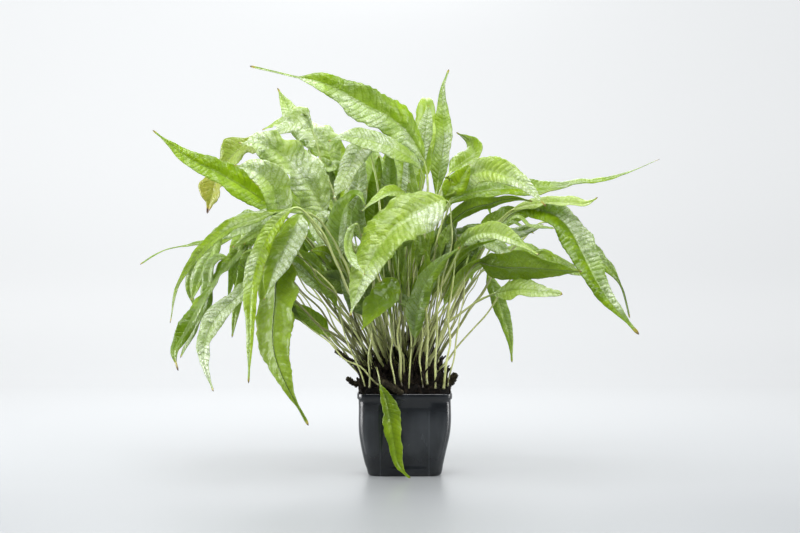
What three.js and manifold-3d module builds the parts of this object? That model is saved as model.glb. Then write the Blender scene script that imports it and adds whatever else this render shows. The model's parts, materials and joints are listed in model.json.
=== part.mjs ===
// A java fern grown in a small square nursery pot.
//
// Millimetres, +Z up, -Y towards the viewer, origin on the floor under the middle of the pot.
// A mass of roots fills the pot and stands above its rim, short rhizomes creep out of it, and
// each frond is one solid: a thin stalk that runs on as the midrib of a long pointed blade.

import Module from 'manifold-3d';
import * as THREE from 'three';
import { mergeVertices } from 'three/addons/utils/BufferGeometryUtils.js';

// Pot: thin moulded plastic with a lip, sides that bulge and then taper, and a panel in each face
const POT_HEIGHT = 79;
const LIP_WIDTH = 90;
const LIP_HEIGHT = 6;
const LIP_STEP = 1.6;
const WALL = 1;
const FLOOR = 1.4;
const BODY_WIDTH_AT_LIP = 87.4;
const BODY_WIDTH_AT_BELLY = 86.6;
const BODY_WIDTH_AT_KNEE = 77.5;
const BODY_WIDTH_AT_BASE = 69.2;
const BELLY_HEIGHT = 42;
const KNEE_HEIGHT = 18;
const POT_CORNER = 11;
const PANEL_WIDTH = 46;
const PANEL_DEPTH = 1.1;
const PANEL_DEPTH_AT_LIP = 0.3;
const CORNER_STEPS = 4;
const DRAIN_RADIUS = 4;
const DRAIN_SPACING = 18;
const DRAIN_SIDES = 10;

// Root mass: packs the pot and stands above its rim, higher on the left
const GAP = 0.3;
const MOUND_TOP = 108;
const MOUND_DROP = 17;
const MOUND_TILT = 0.1;
const MOUND_TILT_TO_FRONT = 0.22;
const MOUND_LUMP = 2.2;
const MOUND_LUMP_SPACING = 7;
const MOUND_LUMP_SHIFT = [1, 0.5];
const MOUND_SHOULDER = 86;
const MOUND_LEAST_RISE = 2;
const MOUND_HALF_WIDTH = 42.5;
const MOUND_RINGS = [10, 20, 30, 38];
const MOUND_ROUNDNESS = 0.7;

// Rhizomes: thick, short and creeping, with blunt ends
const RHIZOME_SIDES = 7;
const RHIZOME_ROWS = 6;
const RHIZOME_WAIST = 0.86;
const RHIZOME_END = 0.7;
const RHIZOME_BLUNTNESS = 0.3;

// Corners of a triangle and of the two that fill a quad
const TRIANGLE = 3;
const QUAD = 2 * TRIANGLE;

// Fronds: section and outline shared by all of them
const STALK_RADIUS_AT_FOOT = 1.25;
const STALK_RADIUS_AT_NECK = 0.9;
const MIDRIB_AT_TIP = 0.35;
const BLADE_FOLD = 0.16;
const STALK_RINGS = 5;
const FIRST_STALK_RING = 0.15;
const RING_SPACING = 13;
const FEWEST_BLADE_RINGS = 7;
const MOST_BLADE_RINGS = 11;
const FIRST_BLADE_RING = 0.02;
const LAST_BLADE_RING = 0.97;
const THINNING = 0.6;
const WIDENING = 0.75;
const TAPER = 1.15;
const THREAD = 0.03;
const FOOT_REACH = 0.2;
const FOOT_SPACING = 6.5;
const FOOT_LIMIT = 37;
const FOOT_CLEARANCE = 1.8;
const STALK_BOW = 0.045;
const SHIFT_STEP = 1.5;
const MOST_SHIFTS = 120;
const SPREADING_ROUNDS = 200;
const LENGTH_STEPS = 40;

// Where the eye stands for the places below, which are read off the upright plane through the
// pot's middle: a point at another depth is moved along its line of sight, so that the fronds
// keep their outline as seen from the front whatever their depth
const EYE_DISTANCE = 1600;
const EYE_ACROSS = -4;
const EYE_HEIGHT = 199;
const TOWARDS_VIEWER = new THREE.Vector3(0, -1, 0);

const LOOKS = {
  fresh: { color: '#8fb23a', roughness: 0.35 },
  pale: { color: '#b9cf8a', roughness: 0.3 },
  deep: { color: '#5a7a2a', roughness: 0.4 },
  yellow: { color: '#b9b83a', roughness: 0.45 },
  pot: { color: '#26282a', roughness: 0.35 },
  roots: { color: '#2a1f17', roughness: 0.9 },
  rhizome: { color: '#3c2c1c', roughness: 0.7 },
};

// One frond a line or two. blade: across and up from neck to tip. depth: of the neck and of the
// tip, away from the viewer. width: of the blade. turn: degrees at the neck and at the tip from
// edge-on, upper face up, to the upper face shown to the viewer, or the underside if negative;
// a frond without it points away from the viewer and keeps its upper face up.
// thread: share of the blade that is drawn out to a thin tip. taper: low where the end is blunt.
const TOP_FRONDS = [
  { name: 'frond_top_arch', look: 'fresh', depth: [0, -40], width: 39, turn: [68, 66], thread: 0.22,
    taper: 0.95, stalk: [[23, 262]],
    blade: [[20, 297], [7, 321], [-8, 338], [-38, 354], [-78, 376], [-112, 384], [-150, 393]] },
  { name: 'frond_top_spire', look: 'fresh', depth: [22, 45], width: 18, turn: [75, 70],
    blade: [[30, 266], [35, 300], [38, 325], [37, 350], [36, 368], [43, 390]] },
  { name: 'frond_top_back', look: 'pale', depth: [40, 110], width: 25,
    stalk: [[27, 205]], blade: [[22, 285], [20, 325], [21, 352], [21, 362], [23, 352]] },
  { name: 'frond_top_folded', look: 'deep', depth: [-5, 50], width: 24, turn: [60, 55],
    blade: [[43, 288], [54, 298], [66, 308], [64, 319], [50, 329]] },
];

const RIGHT_FRONDS = [
  { name: 'frond_right_pleated', look: 'pale', depth: [-18, -85], width: 27, turn: [62, 62],
    blade: [[46, 267], [58, 283], [70, 291], [85, 291], [100, 286], [114, 279], [127, 268], [137, 257]] },
  { name: 'frond_right_long', look: 'fresh', depth: [25, 45], width: 22, turn: [65, 10],
    blade: [[38, 255], [60, 269], [92, 274], [131, 275], [184, 282], [210, 288], [247, 303]] },
  { name: 'frond_right_light', look: 'yellow', depth: [-28, -70], width: 17, turn: [40, 40], taper: 0.7,
    blade: [[102, 252], [132, 260], [160, 261], [178, 260], [187, 266]] },
  { name: 'frond_right_droop', look: 'fresh', depth: [-24, -92], width: 29, turn: [74, 72],
    blade: [[104, 250], [136, 253], [157, 239], [170, 217], [181, 194], [196, 169], [227, 133]] },
  { name: 'frond_right_behind_droop', look: 'deep', depth: [35, 60], width: 24, turn: [60, 60],
    thread: 0.25, blade: [[136, 242], [176, 216], [199, 196], [209, 181], [214, 166], [218, 149]] },
  { name: 'frond_right_dark_arch', look: 'deep', depth: [-10, -50], width: 18, turn: [-50, -50],
    blade: [[38, 232], [52, 248], [66, 256], [84, 260], [102, 265], [124, 262]] },
  { name: 'frond_right_paddle', look: 'deep', depth: [45, 75], width: 23, turn: [-65, -65],
    blade: [[70, 232], [92, 244], [110, 249], [134, 254]] },
  { name: 'frond_right_mid_arch', look: 'pale', depth: [-42, -108], width: 19, turn: [55, 55],
    blade: [[54, 216], [62, 226], [78, 232], [95, 229], [112, 221], [130, 210]] },
  { name: 'frond_right_low_olive', look: 'deep', depth: [-35, -95], width: 31, turn: [-60, -60],
    blade: [[70, 202], [84, 200], [100, 198], [119, 198], [143, 196], [172, 194]] },
  { name: 'frond_right_low', look: 'fresh', depth: [40, 70], width: 19, turn: [50, 50],
    blade: [[92, 213], [110, 214], [128, 209], [146, 206], [167, 199]] },
  { name: 'frond_right_small', look: 'pale', depth: [-45, -95], width: 21, turn: [60, 60], taper: 0.8,
    stalk: [[50, 149]], blade: [[86, 172], [98, 175], [112, 177], [131, 175], [153, 172]] },
  { name: 'frond_right_hanging', look: 'pale', depth: [22, 50], width: 15, turn: [65, 65],
    stalk: [[56, 170]], blade: [[78, 196], [84, 183], [91, 166], [97, 147], [102, 130], [104, 106]] },
];

const MIDDLE_FRONDS = [
  { name: 'frond_middle_large', look: 'pale', depth: [-58, -130], width: 49, turn: [68, 62],
    stalk: [[42, 200]], blade: [[42, 262], [18, 254], [-8, 237], [-30, 208], [-44, 178], [-53, 150]] },
  { name: 'frond_middle_dark', look: 'deep', depth: [30, 60], width: 43, turn: [-70, -70],
    blade: [[8, 164], [14, 198], [19, 222], [27, 246]] },
  { name: 'frond_middle_rising', look: 'fresh', depth: [-52, -95], width: 21, turn: [60, 50],
    blade: [[10, 128], [11, 152], [19, 180], [34, 202], [54, 218]] },
  { name: 'frond_middle_low', look: 'pale', depth: [-64, -110], width: 26, turn: [65, 65],
    stalk: [[-2, 160]], blade: [[-6, 186], [-20, 170], [-31, 154], [-42, 137]] },
  { name: 'frond_middle_curl', look: 'pale', depth: [-85, -120], width: 15, turn: [50, 30],
    stalk: [[-36, 200]], blade: [[-47, 240], [-55, 224], [-52, 206], [-38, 191]] },
  { name: 'frond_middle_rolled', look: 'fresh', depth: [-55, -84], width: 26, turn: [60, 28],
    blade: [[-62, 204], [-63, 232], [-57, 256], [-46, 268], [-37, 256]] },
  { name: 'frond_upright_pale', look: 'pale', depth: [0, -45], width: 25, turn: [70, 70], taper: 0.8,
    stalk: [[-22, 250]], blade: [[-32, 304], [-37, 318], [-44, 311], [-54, 292], [-69, 264]] },
  { name: 'frond_upright_left', look: 'fresh', depth: [12, 30], width: 34, turn: [60, 60],
    blade: [[-66, 248], [-62, 288], [-62, 325]] },
  { name: 'frond_upright_light', look: 'pale', depth: [40, 75], width: 36, turn: [65, 65],
    blade: [[-31, 240], [-30, 280], [-32, 322]] },
  { name: 'frond_upright_olive', look: 'deep', depth: [58, 95], width: 42, turn: [-65, -65],
    blade: [[-8, 232], [-10, 280], [-9, 332]] },
  { name: 'frond_upper_level', look: 'pale', depth: [-20, -60], width: 26, turn: [50, 50], taper: 0.9,
    blade: [[16, 292], [-6, 310], [-32, 320], [-56, 324], [-74, 320]] },
  { name: 'frond_middle_strip', look: 'pale', depth: [-28, -70], width: 14, turn: [35, 35],
    stalk: [[2, 215]], blade: [[2, 268], [-14, 271], [-28, 263], [-42, 252]] },
];

const LEFT_FRONDS = [
  { name: 'frond_left_spear', look: 'fresh', depth: [-25, -60], width: 29, turn: [60, 60],
    blade: [[-114, 246], [-141, 266], [-160, 278], [-183, 291], [-206, 302], [-244, 331]] },
  { name: 'frond_left_yellow', look: 'yellow', depth: [40, 70], width: 27, turn: [50, 65], taper: 0.4,
    blade: [[-98, 298], [-122, 315], [-147, 318], [-167, 306], [-181, 284], [-191, 250]] },
  { name: 'frond_left_crumpled', look: 'pale', depth: [-30, -60], width: 43, turn: [65, 55], taper: 0.8,
    blade: [[-76, 248], [-88, 270], [-101, 289], [-118, 306], [-138, 317], [-161, 319]] },
  { name: 'frond_left_crest', look: 'pale', depth: [25, 60], width: 31, turn: [60, 50],
    blade: [[-66, 296], [-82, 321], [-104, 335], [-122, 338], [-138, 331]] },
  { name: 'frond_left_peak', look: 'fresh', depth: [50, 85], width: 22, turn: [60, 60],
    blade: [[-92, 312], [-102, 332], [-112, 350], [-123, 372]] },
  { name: 'frond_left_curled', look: 'pale', depth: [-66, -100], width: 34, turn: [65, 55], taper: 0.8,
    blade: [[-120, 240], [-124, 262], [-129, 278], [-142, 290], [-165, 297]] },
  { name: 'frond_left_inner', look: 'deep', depth: [32, 60], width: 40, turn: [-60, -60],
    blade: [[-74, 232], [-96, 254], [-122, 274]] },
  { name: 'frond_left_arch', look: 'deep', depth: [-78, -125], width: 20, turn: [32, 25],
    stalk: [[-52, 190]],
    blade: [[-88, 248], [-112, 252], [-160, 240], [-183, 226], [-204, 205], [-219, 182], [-227, 144]] },
  { name: 'frond_left_level', look: 'pale', depth: [-34, -70], width: 24, turn: [60, 60], taper: 0.7,
    blade: [[-120, 249], [-146, 243], [-168, 233], [-190, 227]] },
  { name: 'frond_left_thread', look: 'fresh', depth: [15, 45], width: 10, turn: [35, 35], thread: 0.3,
    blade: [[-146, 232], [-180, 226], [-208, 220], [-232, 215], [-256, 201]] },
  { name: 'frond_left_winding', look: 'fresh', depth: [-20, -55], width: 20, turn: [30, 75], taper: 0.8,
    blade: [[-142, 228], [-163, 210], [-178, 193], [-205, 150], [-216, 131], [-223, 115], [-219, 98]] },
  { name: 'frond_left_outer', look: 'deep', depth: [40, 75], width: 17, turn: [60, 55],
    blade: [[-148, 232], [-176, 226], [-193, 214], [-203, 198], [-208, 182], [-205, 166], [-199, 148]] },
  { name: 'frond_left_short', look: 'deep', depth: [60, 90], width: 18, turn: [-55, -55],
    blade: [[-132, 238], [-154, 223], [-162, 203], [-163, 188], [-159, 168]] },
  { name: 'frond_left_pale_hanging', look: 'pale', depth: [-58, -105], width: 22, turn: [60, 60],
    blade: [[-142, 184], [-166, 166], [-183, 149], [-192, 129], [-194, 110], [-190, 93], [-185, 78]] },
  { name: 'frond_left_bright', look: 'fresh', depth: [-95, -140], width: 17, turn: [65, 65],
    blade: [[-104, 256], [-125, 240], [-138, 217], [-146, 191], [-149, 166], [-150, 120], [-151, 86]] },
  { name: 'frond_left_two_tone', look: 'pale', depth: [-66, -100], width: 34, turn: [70, 65],
    blade: [[-98, 250], [-107, 234], [-114, 220], [-124, 200], [-136, 166]] },
  { name: 'frond_left_large', look: 'deep', depth: [-66, -115], width: 44, turn: [-66, -62], taper: 1.7,
    blade: [[-112, 214], [-124, 184], [-126, 157], [-128, 134], [-125, 111], [-114, 84], [-93, 45]] },
  { name: 'frond_left_low', look: 'fresh', depth: [-14, -32], width: 18, turn: [50, 50],
    foot: [-37, -3], stalk: [[-56, 117]], blade: [[-70, 130], [-84, 143], [-100, 154], [-124, 167]] },
  { name: 'frond_left_back', look: 'deep', depth: [60, 115], width: 44, turn: [-65, -65],
    blade: [[-44, 178], [-66, 193], [-86, 200], [-112, 202]] },
];

const FRONT_FRONDS = [
  { name: 'frond_over_the_rim', look: 'fresh', depth: [-50, -64], width: 19, turn: [80, 80], taper: 0.55,
    foot: [-27, -33], stalk: [[-27, 99]],
    blade: [[-24, 86], [-18, 71], [-14, 54], [-11, 37], [-8, 18], [-3, 1], [6, -6]] },
];

// The side away from the viewer, filled as the rest of the plant is
const BACK_FRONDS = [
  { name: 'frond_back_left_low', look: 'fresh', depth: [50, 140], width: 36,
    blade: [[-40, 192], [-62, 222], [-80, 232], [-94, 222], [-100, 196]] },
  { name: 'frond_back_left_high', look: 'fresh', depth: [60, 150], width: 40,
    blade: [[-35, 250], [-58, 290], [-74, 310], [-86, 310], [-94, 294]] },
  { name: 'frond_back_middle_low', look: 'deep', depth: [48, 150], width: 38,
    blade: [[-5, 185], [-8, 210], [-10, 218], [-12, 208], [-14, 185]] },
  { name: 'frond_back_middle_high', look: 'fresh', depth: [62, 165], width: 42,
    blade: [[2, 252], [2, 286], [0, 300], [-4, 294], [-8, 268]] },
  { name: 'frond_back_right_low', look: 'fresh', depth: [46, 135], width: 38,
    blade: [[28, 190], [42, 212], [52, 218], [60, 206], [66, 182]] },
  { name: 'frond_back_right_high', look: 'pale', depth: [56, 145], width: 38,
    blade: [[30, 245], [48, 268], [64, 276], [76, 268], [84, 248]] },
];

// Rhizomes: real places of the points along each, and its radius
const RHIZOMES = [
  { name: 'rhizome_left_upper', radius: 2.4, path: [[-38, -19, 101], [-50, -22, 108], [-66, -25, 119]] },
  { name: 'rhizome_left_lower', radius: 2.6, path: [[-38, -24, 90], [-46, -26, 87], [-55, -28, 93]] },
  { name: 'rhizome_right', radius: 2.8, path: [[36, -20, 92], [43, -24, 87], [49, -26, 97]] },
  { name: 'rhizome_front', radius: 3.2, path: [[-26, -38, 92], [-14, -46, 87], [-2, -50, 80]] },
];

const wasm = await Module();
wasm.setup();

/** The closed solid of a geometry whose seams are merged. */
function solidOf(geometry) {
  const bare = geometry.clone();
  bare.deleteAttribute('normal');
  bare.deleteAttribute('uv');
  const merged = mergeVertices(bare, 1e-3);
  const vertProperties = new Float32Array(merged.attributes.position.array);
  const triVerts = new Uint32Array(merged.index.array);
  return new wasm.Manifold(new wasm.Mesh({ numProp: 3, vertProperties, triVerts }));
}

/** The geometry of a solid. */
function geometryOf(solid) {
  const { vertProperties, triVerts } = solid.getMesh();
  const geometry = new THREE.BufferGeometry();
  geometry.setAttribute('position', new THREE.BufferAttribute(vertProperties, 3));
  geometry.setIndex(new THREE.BufferAttribute(triVerts, 1));
  geometry.computeVertexNormals();
  return geometry;
}

/** Turns the crease across every other column of faces, so that both sides crease alike. */
function mirrorCreases(geometry) {
  const { widthSegments: columns } = geometry.parameters;
  const corners = geometry.index.array;
  const ends = TRIANGLE * columns;
  for (let start = ends; start < corners.length - ends; start += QUAD) {
    const column = ((start - ends) / QUAD) % columns;
    if (column % 2 === 1) {
      const [right, left, lowerRight, , lowerLeft] = corners.slice(start, start + QUAD);
      corners.set([right, left, lowerLeft, right, lowerLeft, lowerRight], start);
    }
  }
}

/**
 * A closed skin over rings of equal count, counter-clockwise as seen from the first end. The two
 * sides of a flat one crease alike, so that they can't cross where it twists.
 */
function loft(firstEnd, rings, lastEnd, flat = false) {
  const around = rings[0].length;
  const geometry = new THREE.SphereGeometry(1, around, rings.length + 1);
  const rows = [new Array(around).fill(firstEnd), ...rings, new Array(around).fill(lastEnd)];
  rows.forEach((row, down) => {
    for (let column = 0; column <= around; column += 1) {
      const { x, y, z } = row[column % around];
      geometry.attributes.position.setXYZ(down * (around + 1) + column, x, y, z);
    }
  });
  if (flat) mirrorCreases(geometry);
  geometry.computeVertexNormals();
  return geometry;
}

/** A square's outline with round corners and a shallow panel in each side, at one height. */
function squareRing(halfWidth, corner, panelDepth, z) {
  const quarter = [];
  const straight = halfWidth - corner;
  const panel = PANEL_WIDTH / 2;
  if (panelDepth > 0) {
    quarter.push([halfWidth, -panel - panelDepth], [halfWidth - panelDepth, -panel]);
    quarter.push([halfWidth - panelDepth, panel], [halfWidth, panel + panelDepth]);
  }
  for (let step = 0; step <= CORNER_STEPS; step += 1) {
    const angle = (step / CORNER_STEPS) * (Math.PI / 2);
    quarter.push([straight + corner * Math.cos(angle), straight + corner * Math.sin(angle)]);
  }
  const ring = [];
  for (let side = 0; side < 4; side += 1) {
    const turned = new THREE.Matrix4().makeRotationZ(side * (Math.PI / 2));
    quarter.forEach(([x, y]) => ring.push(new THREE.Vector3(x, y, z).applyMatrix4(turned)));
  }
  return ring;
}

/** The pot: its outside less its inside, less the drain holes in its floor. */
function potGeometry() {
  const ring = (width, inset, z, panelDepth = PANEL_DEPTH) => (
    squareRing(width / 2 - inset, POT_CORNER - inset, panelDepth, z)
  );
  const underLip = POT_HEIGHT - LIP_HEIGHT;
  const outside = loft(new THREE.Vector3(0, 0, POT_HEIGHT), [
    ring(LIP_WIDTH, 0, POT_HEIGHT, PANEL_DEPTH_AT_LIP),
    ring(LIP_WIDTH, 0, underLip + LIP_STEP / 2, PANEL_DEPTH_AT_LIP),
    ring(BODY_WIDTH_AT_LIP, 0, underLip, PANEL_DEPTH_AT_LIP),
    ring(BODY_WIDTH_AT_BELLY, 0, BELLY_HEIGHT),
    ring(BODY_WIDTH_AT_KNEE, 0, KNEE_HEIGHT),
    ring(BODY_WIDTH_AT_BASE, 0, 0),
  ], new THREE.Vector3(0, 0, 0));
  const inside = loft(new THREE.Vector3(0, 0, POT_HEIGHT + 1), [
    ring(LIP_WIDTH, WALL, POT_HEIGHT + 1, PANEL_DEPTH_AT_LIP),
    ring(LIP_WIDTH, WALL, underLip + LIP_STEP, PANEL_DEPTH_AT_LIP),
    ring(BODY_WIDTH_AT_LIP, WALL, underLip, PANEL_DEPTH_AT_LIP),
    ring(BODY_WIDTH_AT_BELLY, WALL, BELLY_HEIGHT),
    ring(BODY_WIDTH_AT_KNEE, WALL, KNEE_HEIGHT),
    ring(BODY_WIDTH_AT_BASE, WALL, FLOOR),
  ], new THREE.Vector3(0, 0, FLOOR));
  let pot = solidOf(outside).subtract(solidOf(inside));
  for (const [x, y] of [[1, 1], [-1, 1], [-1, -1], [1, -1]]) {
    const drill = new THREE.CylinderGeometry(DRAIN_RADIUS, DRAIN_RADIUS, 4 * FLOOR, DRAIN_SIDES);
    drill.rotateX(Math.PI / 2);
    drill.translate(x * DRAIN_SPACING, y * DRAIN_SPACING, FLOOR / 2);
    pot = pot.subtract(solidOf(drill));
  }
  return geometryOf(pot);
}

/** Height of the root mass's lumpy top. */
function moundHeight(x, y) {
  const out = Math.hypot(x, y) / MOUND_HALF_WIDTH;
  const across = x / MOUND_LUMP_SPACING;
  const along = y / MOUND_LUMP_SPACING;
  const [aside, ahead] = MOUND_LUMP_SHIFT;
  const lumps = Math.sin(across + aside) * Math.cos(along + ahead) + Math.sin(along - across / 2) / 2;
  const slope = MOUND_TILT_TO_FRONT * y - MOUND_TILT * x;
  return MOUND_TOP - MOUND_DROP * out ** 3 + slope + MOUND_LUMP * lumps;
}

/** The root mass, less the sockets of the rhizomes that creep out of it. */
function rootMassGeometry(rhizomes) {
  const ring = (halfWidth, z) => squareRing(halfWidth, POT_CORNER - WALL - GAP, 0, z);
  const topRing = (halfWidth) => {
    const points = squareRing(halfWidth, halfWidth * MOUND_ROUNDNESS, 0, 0);
    return points.map(({ x, y }) => {
      const z = Math.max(moundHeight(x, y), MOUND_SHOULDER + MOUND_LEAST_RISE);
      return new THREE.Vector3(x, y, z);
    });
  };
  const inset = WALL + PANEL_DEPTH + GAP;
  const underLip = POT_HEIGHT - LIP_HEIGHT;
  const skin = loft(new THREE.Vector3(0, 0, moundHeight(0, 0)), [
    ...MOUND_RINGS.map(topRing),
    ring(MOUND_HALF_WIDTH, MOUND_SHOULDER),
    ring(BODY_WIDTH_AT_LIP / 2 - inset, underLip - 1),
    ring(BODY_WIDTH_AT_BELLY / 2 - inset, BELLY_HEIGHT),
    ring(BODY_WIDTH_AT_KNEE / 2 - inset, KNEE_HEIGHT),
    ring(BODY_WIDTH_AT_BASE / 2 - inset, FLOOR + GAP),
  ], new THREE.Vector3(0, 0, FLOOR + GAP));
  let mass = solidOf(skin);
  rhizomes.forEach((rhizome) => {
    mass = mass.subtract(solidOf(rhizomeGeometry(rhizome, GAP)));
  });
  return geometryOf(mass);
}

/** A rhizome: a tube along its path with knuckles and blunt ends. */
function rhizomeGeometry({ radius, path }, grow = 0) {
  const curve = new THREE.CatmullRomCurve3(path.map((point) => new THREE.Vector3(...point)));
  const rows = RHIZOME_ROWS;
  const { normals, binormals, tangents } = curve.computeFrenetFrames(rows, false);
  const rings = [];
  for (let row = rows; row >= 0; row -= 1) {
    const centre = curve.getPointAt(row / rows);
    const knuckle = row % 2 === 0 ? 1 : RHIZOME_WAIST;
    const blunt = row === 0 || row === rows ? RHIZOME_END : 1;
    const size = radius * knuckle * blunt + grow;
    rings.push(Array.from({ length: RHIZOME_SIDES }, (_, side) => {
      const angle = (side / RHIZOME_SIDES) * 2 * Math.PI;
      return centre.clone()
        .addScaledVector(normals[row], size * Math.cos(angle))
        .addScaledVector(binormals[row], size * Math.sin(angle));
    }));
  }
  const past = radius * RHIZOME_BLUNTNESS + grow;
  const tip = curve.getPointAt(1).addScaledVector(tangents[rows], past);
  const root = curve.getPointAt(0).addScaledVector(tangents[0], -past);
  return loft(tip, rings, root);
}

/** The real place of a point read off the pot's upright plane, once it lies at a depth. */
function atDepth([across, up], depth) {
  const nearer = (EYE_DISTANCE + depth) / EYE_DISTANCE;
  return new THREE.Vector3(
    EYE_ACROSS + (across - EYE_ACROSS) * nearer,
    depth,
    EYE_HEIGHT + (up - EYE_HEIGHT) * nearer,
  );
}

/** Feet of the fronds on the root mass, each below its own neck and clear of the others. */
function spreadFeet(fronds) {
  const feet = fronds.map(({ foot, blade, depth }) => {
    if (foot) return new THREE.Vector2(...foot);
    const neck = atDepth(blade[0], depth[0]);
    const reach = new THREE.Vector2(neck.x, neck.y).multiplyScalar(FOOT_REACH);
    return reach.clampLength(0, FOOT_LIMIT);
  });
  for (let round = 0; round < SPREADING_ROUNDS; round += 1) {
    for (let one = 0; one < feet.length; one += 1) {
      for (let other = one + 1; other < feet.length; other += 1) {
        const apart = feet[other].clone().sub(feet[one]);
        const short = FOOT_SPACING - apart.length();
        if (short > 0) {
          const push = apart.lengthSq() > 0 ? apart.normalize() : new THREE.Vector2(1, 0);
          feet[one].addScaledVector(push, -short / 2);
          feet[other].addScaledVector(push, short / 2);
        }
      }
      feet[one].clampLength(0, FOOT_LIMIT);
    }
  }
  return feet;
}

/** The line that a frond's stalk and midrib follow, and how far along it the blade begins. */
function frondLine(frond, foot, shift) {
  const { blade, depth, stalk = [] } = frond;
  const bladePoints = blade.map((point, index) => {
    const along = index / (blade.length - 1);
    return atDepth(point, THREE.MathUtils.lerp(depth[0], depth[1], along) + shift);
  });
  const footPoint = new THREE.Vector3(foot.x, foot.y, moundHeight(foot.x, foot.y) + FOOT_CLEARANCE);
  const neck = bladePoints[0];
  const stalkPoints = stalk.map((point, index) => {
    const along = (index + 1) / (stalk.length + 1);
    return atDepth(point, THREE.MathUtils.lerp(foot.y, neck.y, along));
  });
  if (stalk.length === 0) {
    const middle = footPoint.clone().lerp(neck, 0.5);
    const inward = new THREE.Vector3(-neck.x, -neck.y, 0).normalize();
    stalkPoints.push(middle.addScaledVector(inward, STALK_BOW * footPoint.distanceTo(neck)));
  }
  const points = [footPoint, ...stalkPoints, ...bladePoints];
  const curve = new THREE.CatmullRomCurve3(points);
  const neckIndex = 1 + stalkPoints.length;
  const lengths = curve.getLengths(LENGTH_STEPS * (points.length - 1));
  const neckAt = lengths[LENGTH_STEPS * neckIndex] / lengths[lengths.length - 1];
  return { curve, neckAt };
}

/** Half of a blade's width, as a share of its widest, from neck to tip. */
function outline(along, thread, taper) {
  const widest = WIDENING / (WIDENING + taper);
  const most = widest ** WIDENING * (1 - widest) ** taper;
  const share = Math.min(along / (1 - thread), 1);
  return (share ** WIDENING * (1 - share) ** taper) / most;
}

/** Which way the upper face looks: up, or rolled to a turn from edge-on where there is one. */
function faceDirection(tangent, heading, turn) {
  if (turn === undefined) {
    const level = new THREE.Vector3(heading.y, -heading.x, 0).normalize();
    return level.cross(tangent).normalize();
  }
  const shown = TOWARDS_VIEWER.clone().projectOnPlane(tangent).normalize();
  const edgeOn = heading.x > 0 ? shown.clone().cross(tangent) : tangent.clone().cross(shown);
  const angle = THREE.MathUtils.degToRad(turn);
  return edgeOn.multiplyScalar(Math.cos(angle)).addScaledVector(shown, Math.sin(angle));
}

/** One frond: four-cornered rings along its line, thin and wide in the blade. */
function frondGeometry(frond, foot, shift = 0, grow = 0) {
  const { curve, neckAt } = frondLine(frond, foot, shift);
  const bladeLength = curve.getLength() * (1 - neckAt);
  const bladeRings = THREE.MathUtils.clamp(
    Math.round(bladeLength / RING_SPACING), FEWEST_BLADE_RINGS, MOST_BLADE_RINGS,
  );
  const heading = curve.getPointAt(1).sub(curve.getPointAt(neckAt));
  const rings = [];
  const addRing = (at, halfWidth, halfThickness, alongBlade) => {
    const centre = curve.getPointAt(at);
    const tangent = curve.getTangentAt(at);
    const turn = frond.turn && THREE.MathUtils.lerp(...frond.turn, alongBlade);
    const face = faceDirection(tangent, heading, turn);
    const across = face.clone().cross(tangent);
    const corner = (acrossBy, faceBy) => (
      centre.clone().addScaledVector(across, acrossBy).addScaledVector(face, faceBy)
    );
    const fold = BLADE_FOLD * Math.max(halfWidth - halfThickness, 0);
    rings.unshift([
      corner(halfWidth + grow, fold),
      corner(0, halfThickness + grow),
      corner(-halfWidth - grow, fold),
      corner(0, -halfThickness - grow),
    ]);
  };
  for (let ring = 0; ring < STALK_RINGS; ring += 1) {
    const along = (ring + FIRST_STALK_RING) / STALK_RINGS;
    const radius = THREE.MathUtils.lerp(STALK_RADIUS_AT_FOOT, STALK_RADIUS_AT_NECK, along);
    addRing(neckAt * along, radius, radius, 0);
  }
  for (let ring = 0; ring < bladeRings; ring += 1) {
    const along = THREE.MathUtils.lerp(FIRST_BLADE_RING, LAST_BLADE_RING, ring / (bladeRings - 1));
    const thinned = along ** THINNING;
    const thickness = THREE.MathUtils.lerp(STALK_RADIUS_AT_NECK, MIDRIB_AT_TIP, thinned);
    const broad = outline(along, frond.thread ?? THREAD, frond.taper ?? TAPER);
    const halfWidth = Math.max((frond.width / 2) * broad, thickness);
    addRing(neckAt + (1 - neckAt) * along, halfWidth, thickness, along);
  }
  return loft(curve.getPointAt(1), rings, curve.getPointAt(0), true);
}

/** Every frond's geometry, each moved in depth by the least that clears those before it. */
function settledFronds(fronds, obstacles) {
  const feet = spreadFeet(fronds);
  const standing = obstacles.map((geometry) => solidOf(geometry));
  return fronds.map((frond, index) => {
    let shift = 0;
    let step = 0;
    const clashes = () => {
      const grown = solidOf(frondGeometry(frond, feet[index], shift, GAP));
      return standing.some((solid) => !grown.intersect(solid).isEmpty());
    };
    while (clashes() && step < MOST_SHIFTS) {
      step += 1;
      shift = Math.ceil(step / 2) * (step % 2 === 1 ? SHIFT_STEP : -SHIFT_STEP);
    }
    const geometry = frondGeometry(frond, feet[index], shift);
    standing.push(solidOf(geometry));
    return geometry;
  });
}

/** A named mesh with its own material. */
function piece(name, geometry, look) {
  const mesh = new THREE.Mesh(geometry, new THREE.MeshStandardMaterial(LOOKS[look]));
  mesh.name = name;
  return mesh;
}

const fern = new THREE.Group();
const potShape = potGeometry();
const rootMassShape = rootMassGeometry(RHIZOMES);
fern.add(piece('pot', potShape, 'pot'));
fern.add(piece('root_mass', rootMassShape, 'roots'));
RHIZOMES.forEach((rhizome) => fern.add(piece(rhizome.name, rhizomeGeometry(rhizome), 'rhizome')));

const fronds = [
  ...FRONT_FRONDS, ...MIDDLE_FRONDS, ...LEFT_FRONDS, ...RIGHT_FRONDS, ...TOP_FRONDS, ...BACK_FRONDS,
];
const obstacles = [potShape, rootMassShape, ...RHIZOMES.map((rhizome) => rhizomeGeometry(rhizome))];
settledFronds(fronds, obstacles).forEach((geometry, index) => {
  fern.add(piece(fronds[index].name, geometry, fronds[index].look));
});

export default fern;
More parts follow.
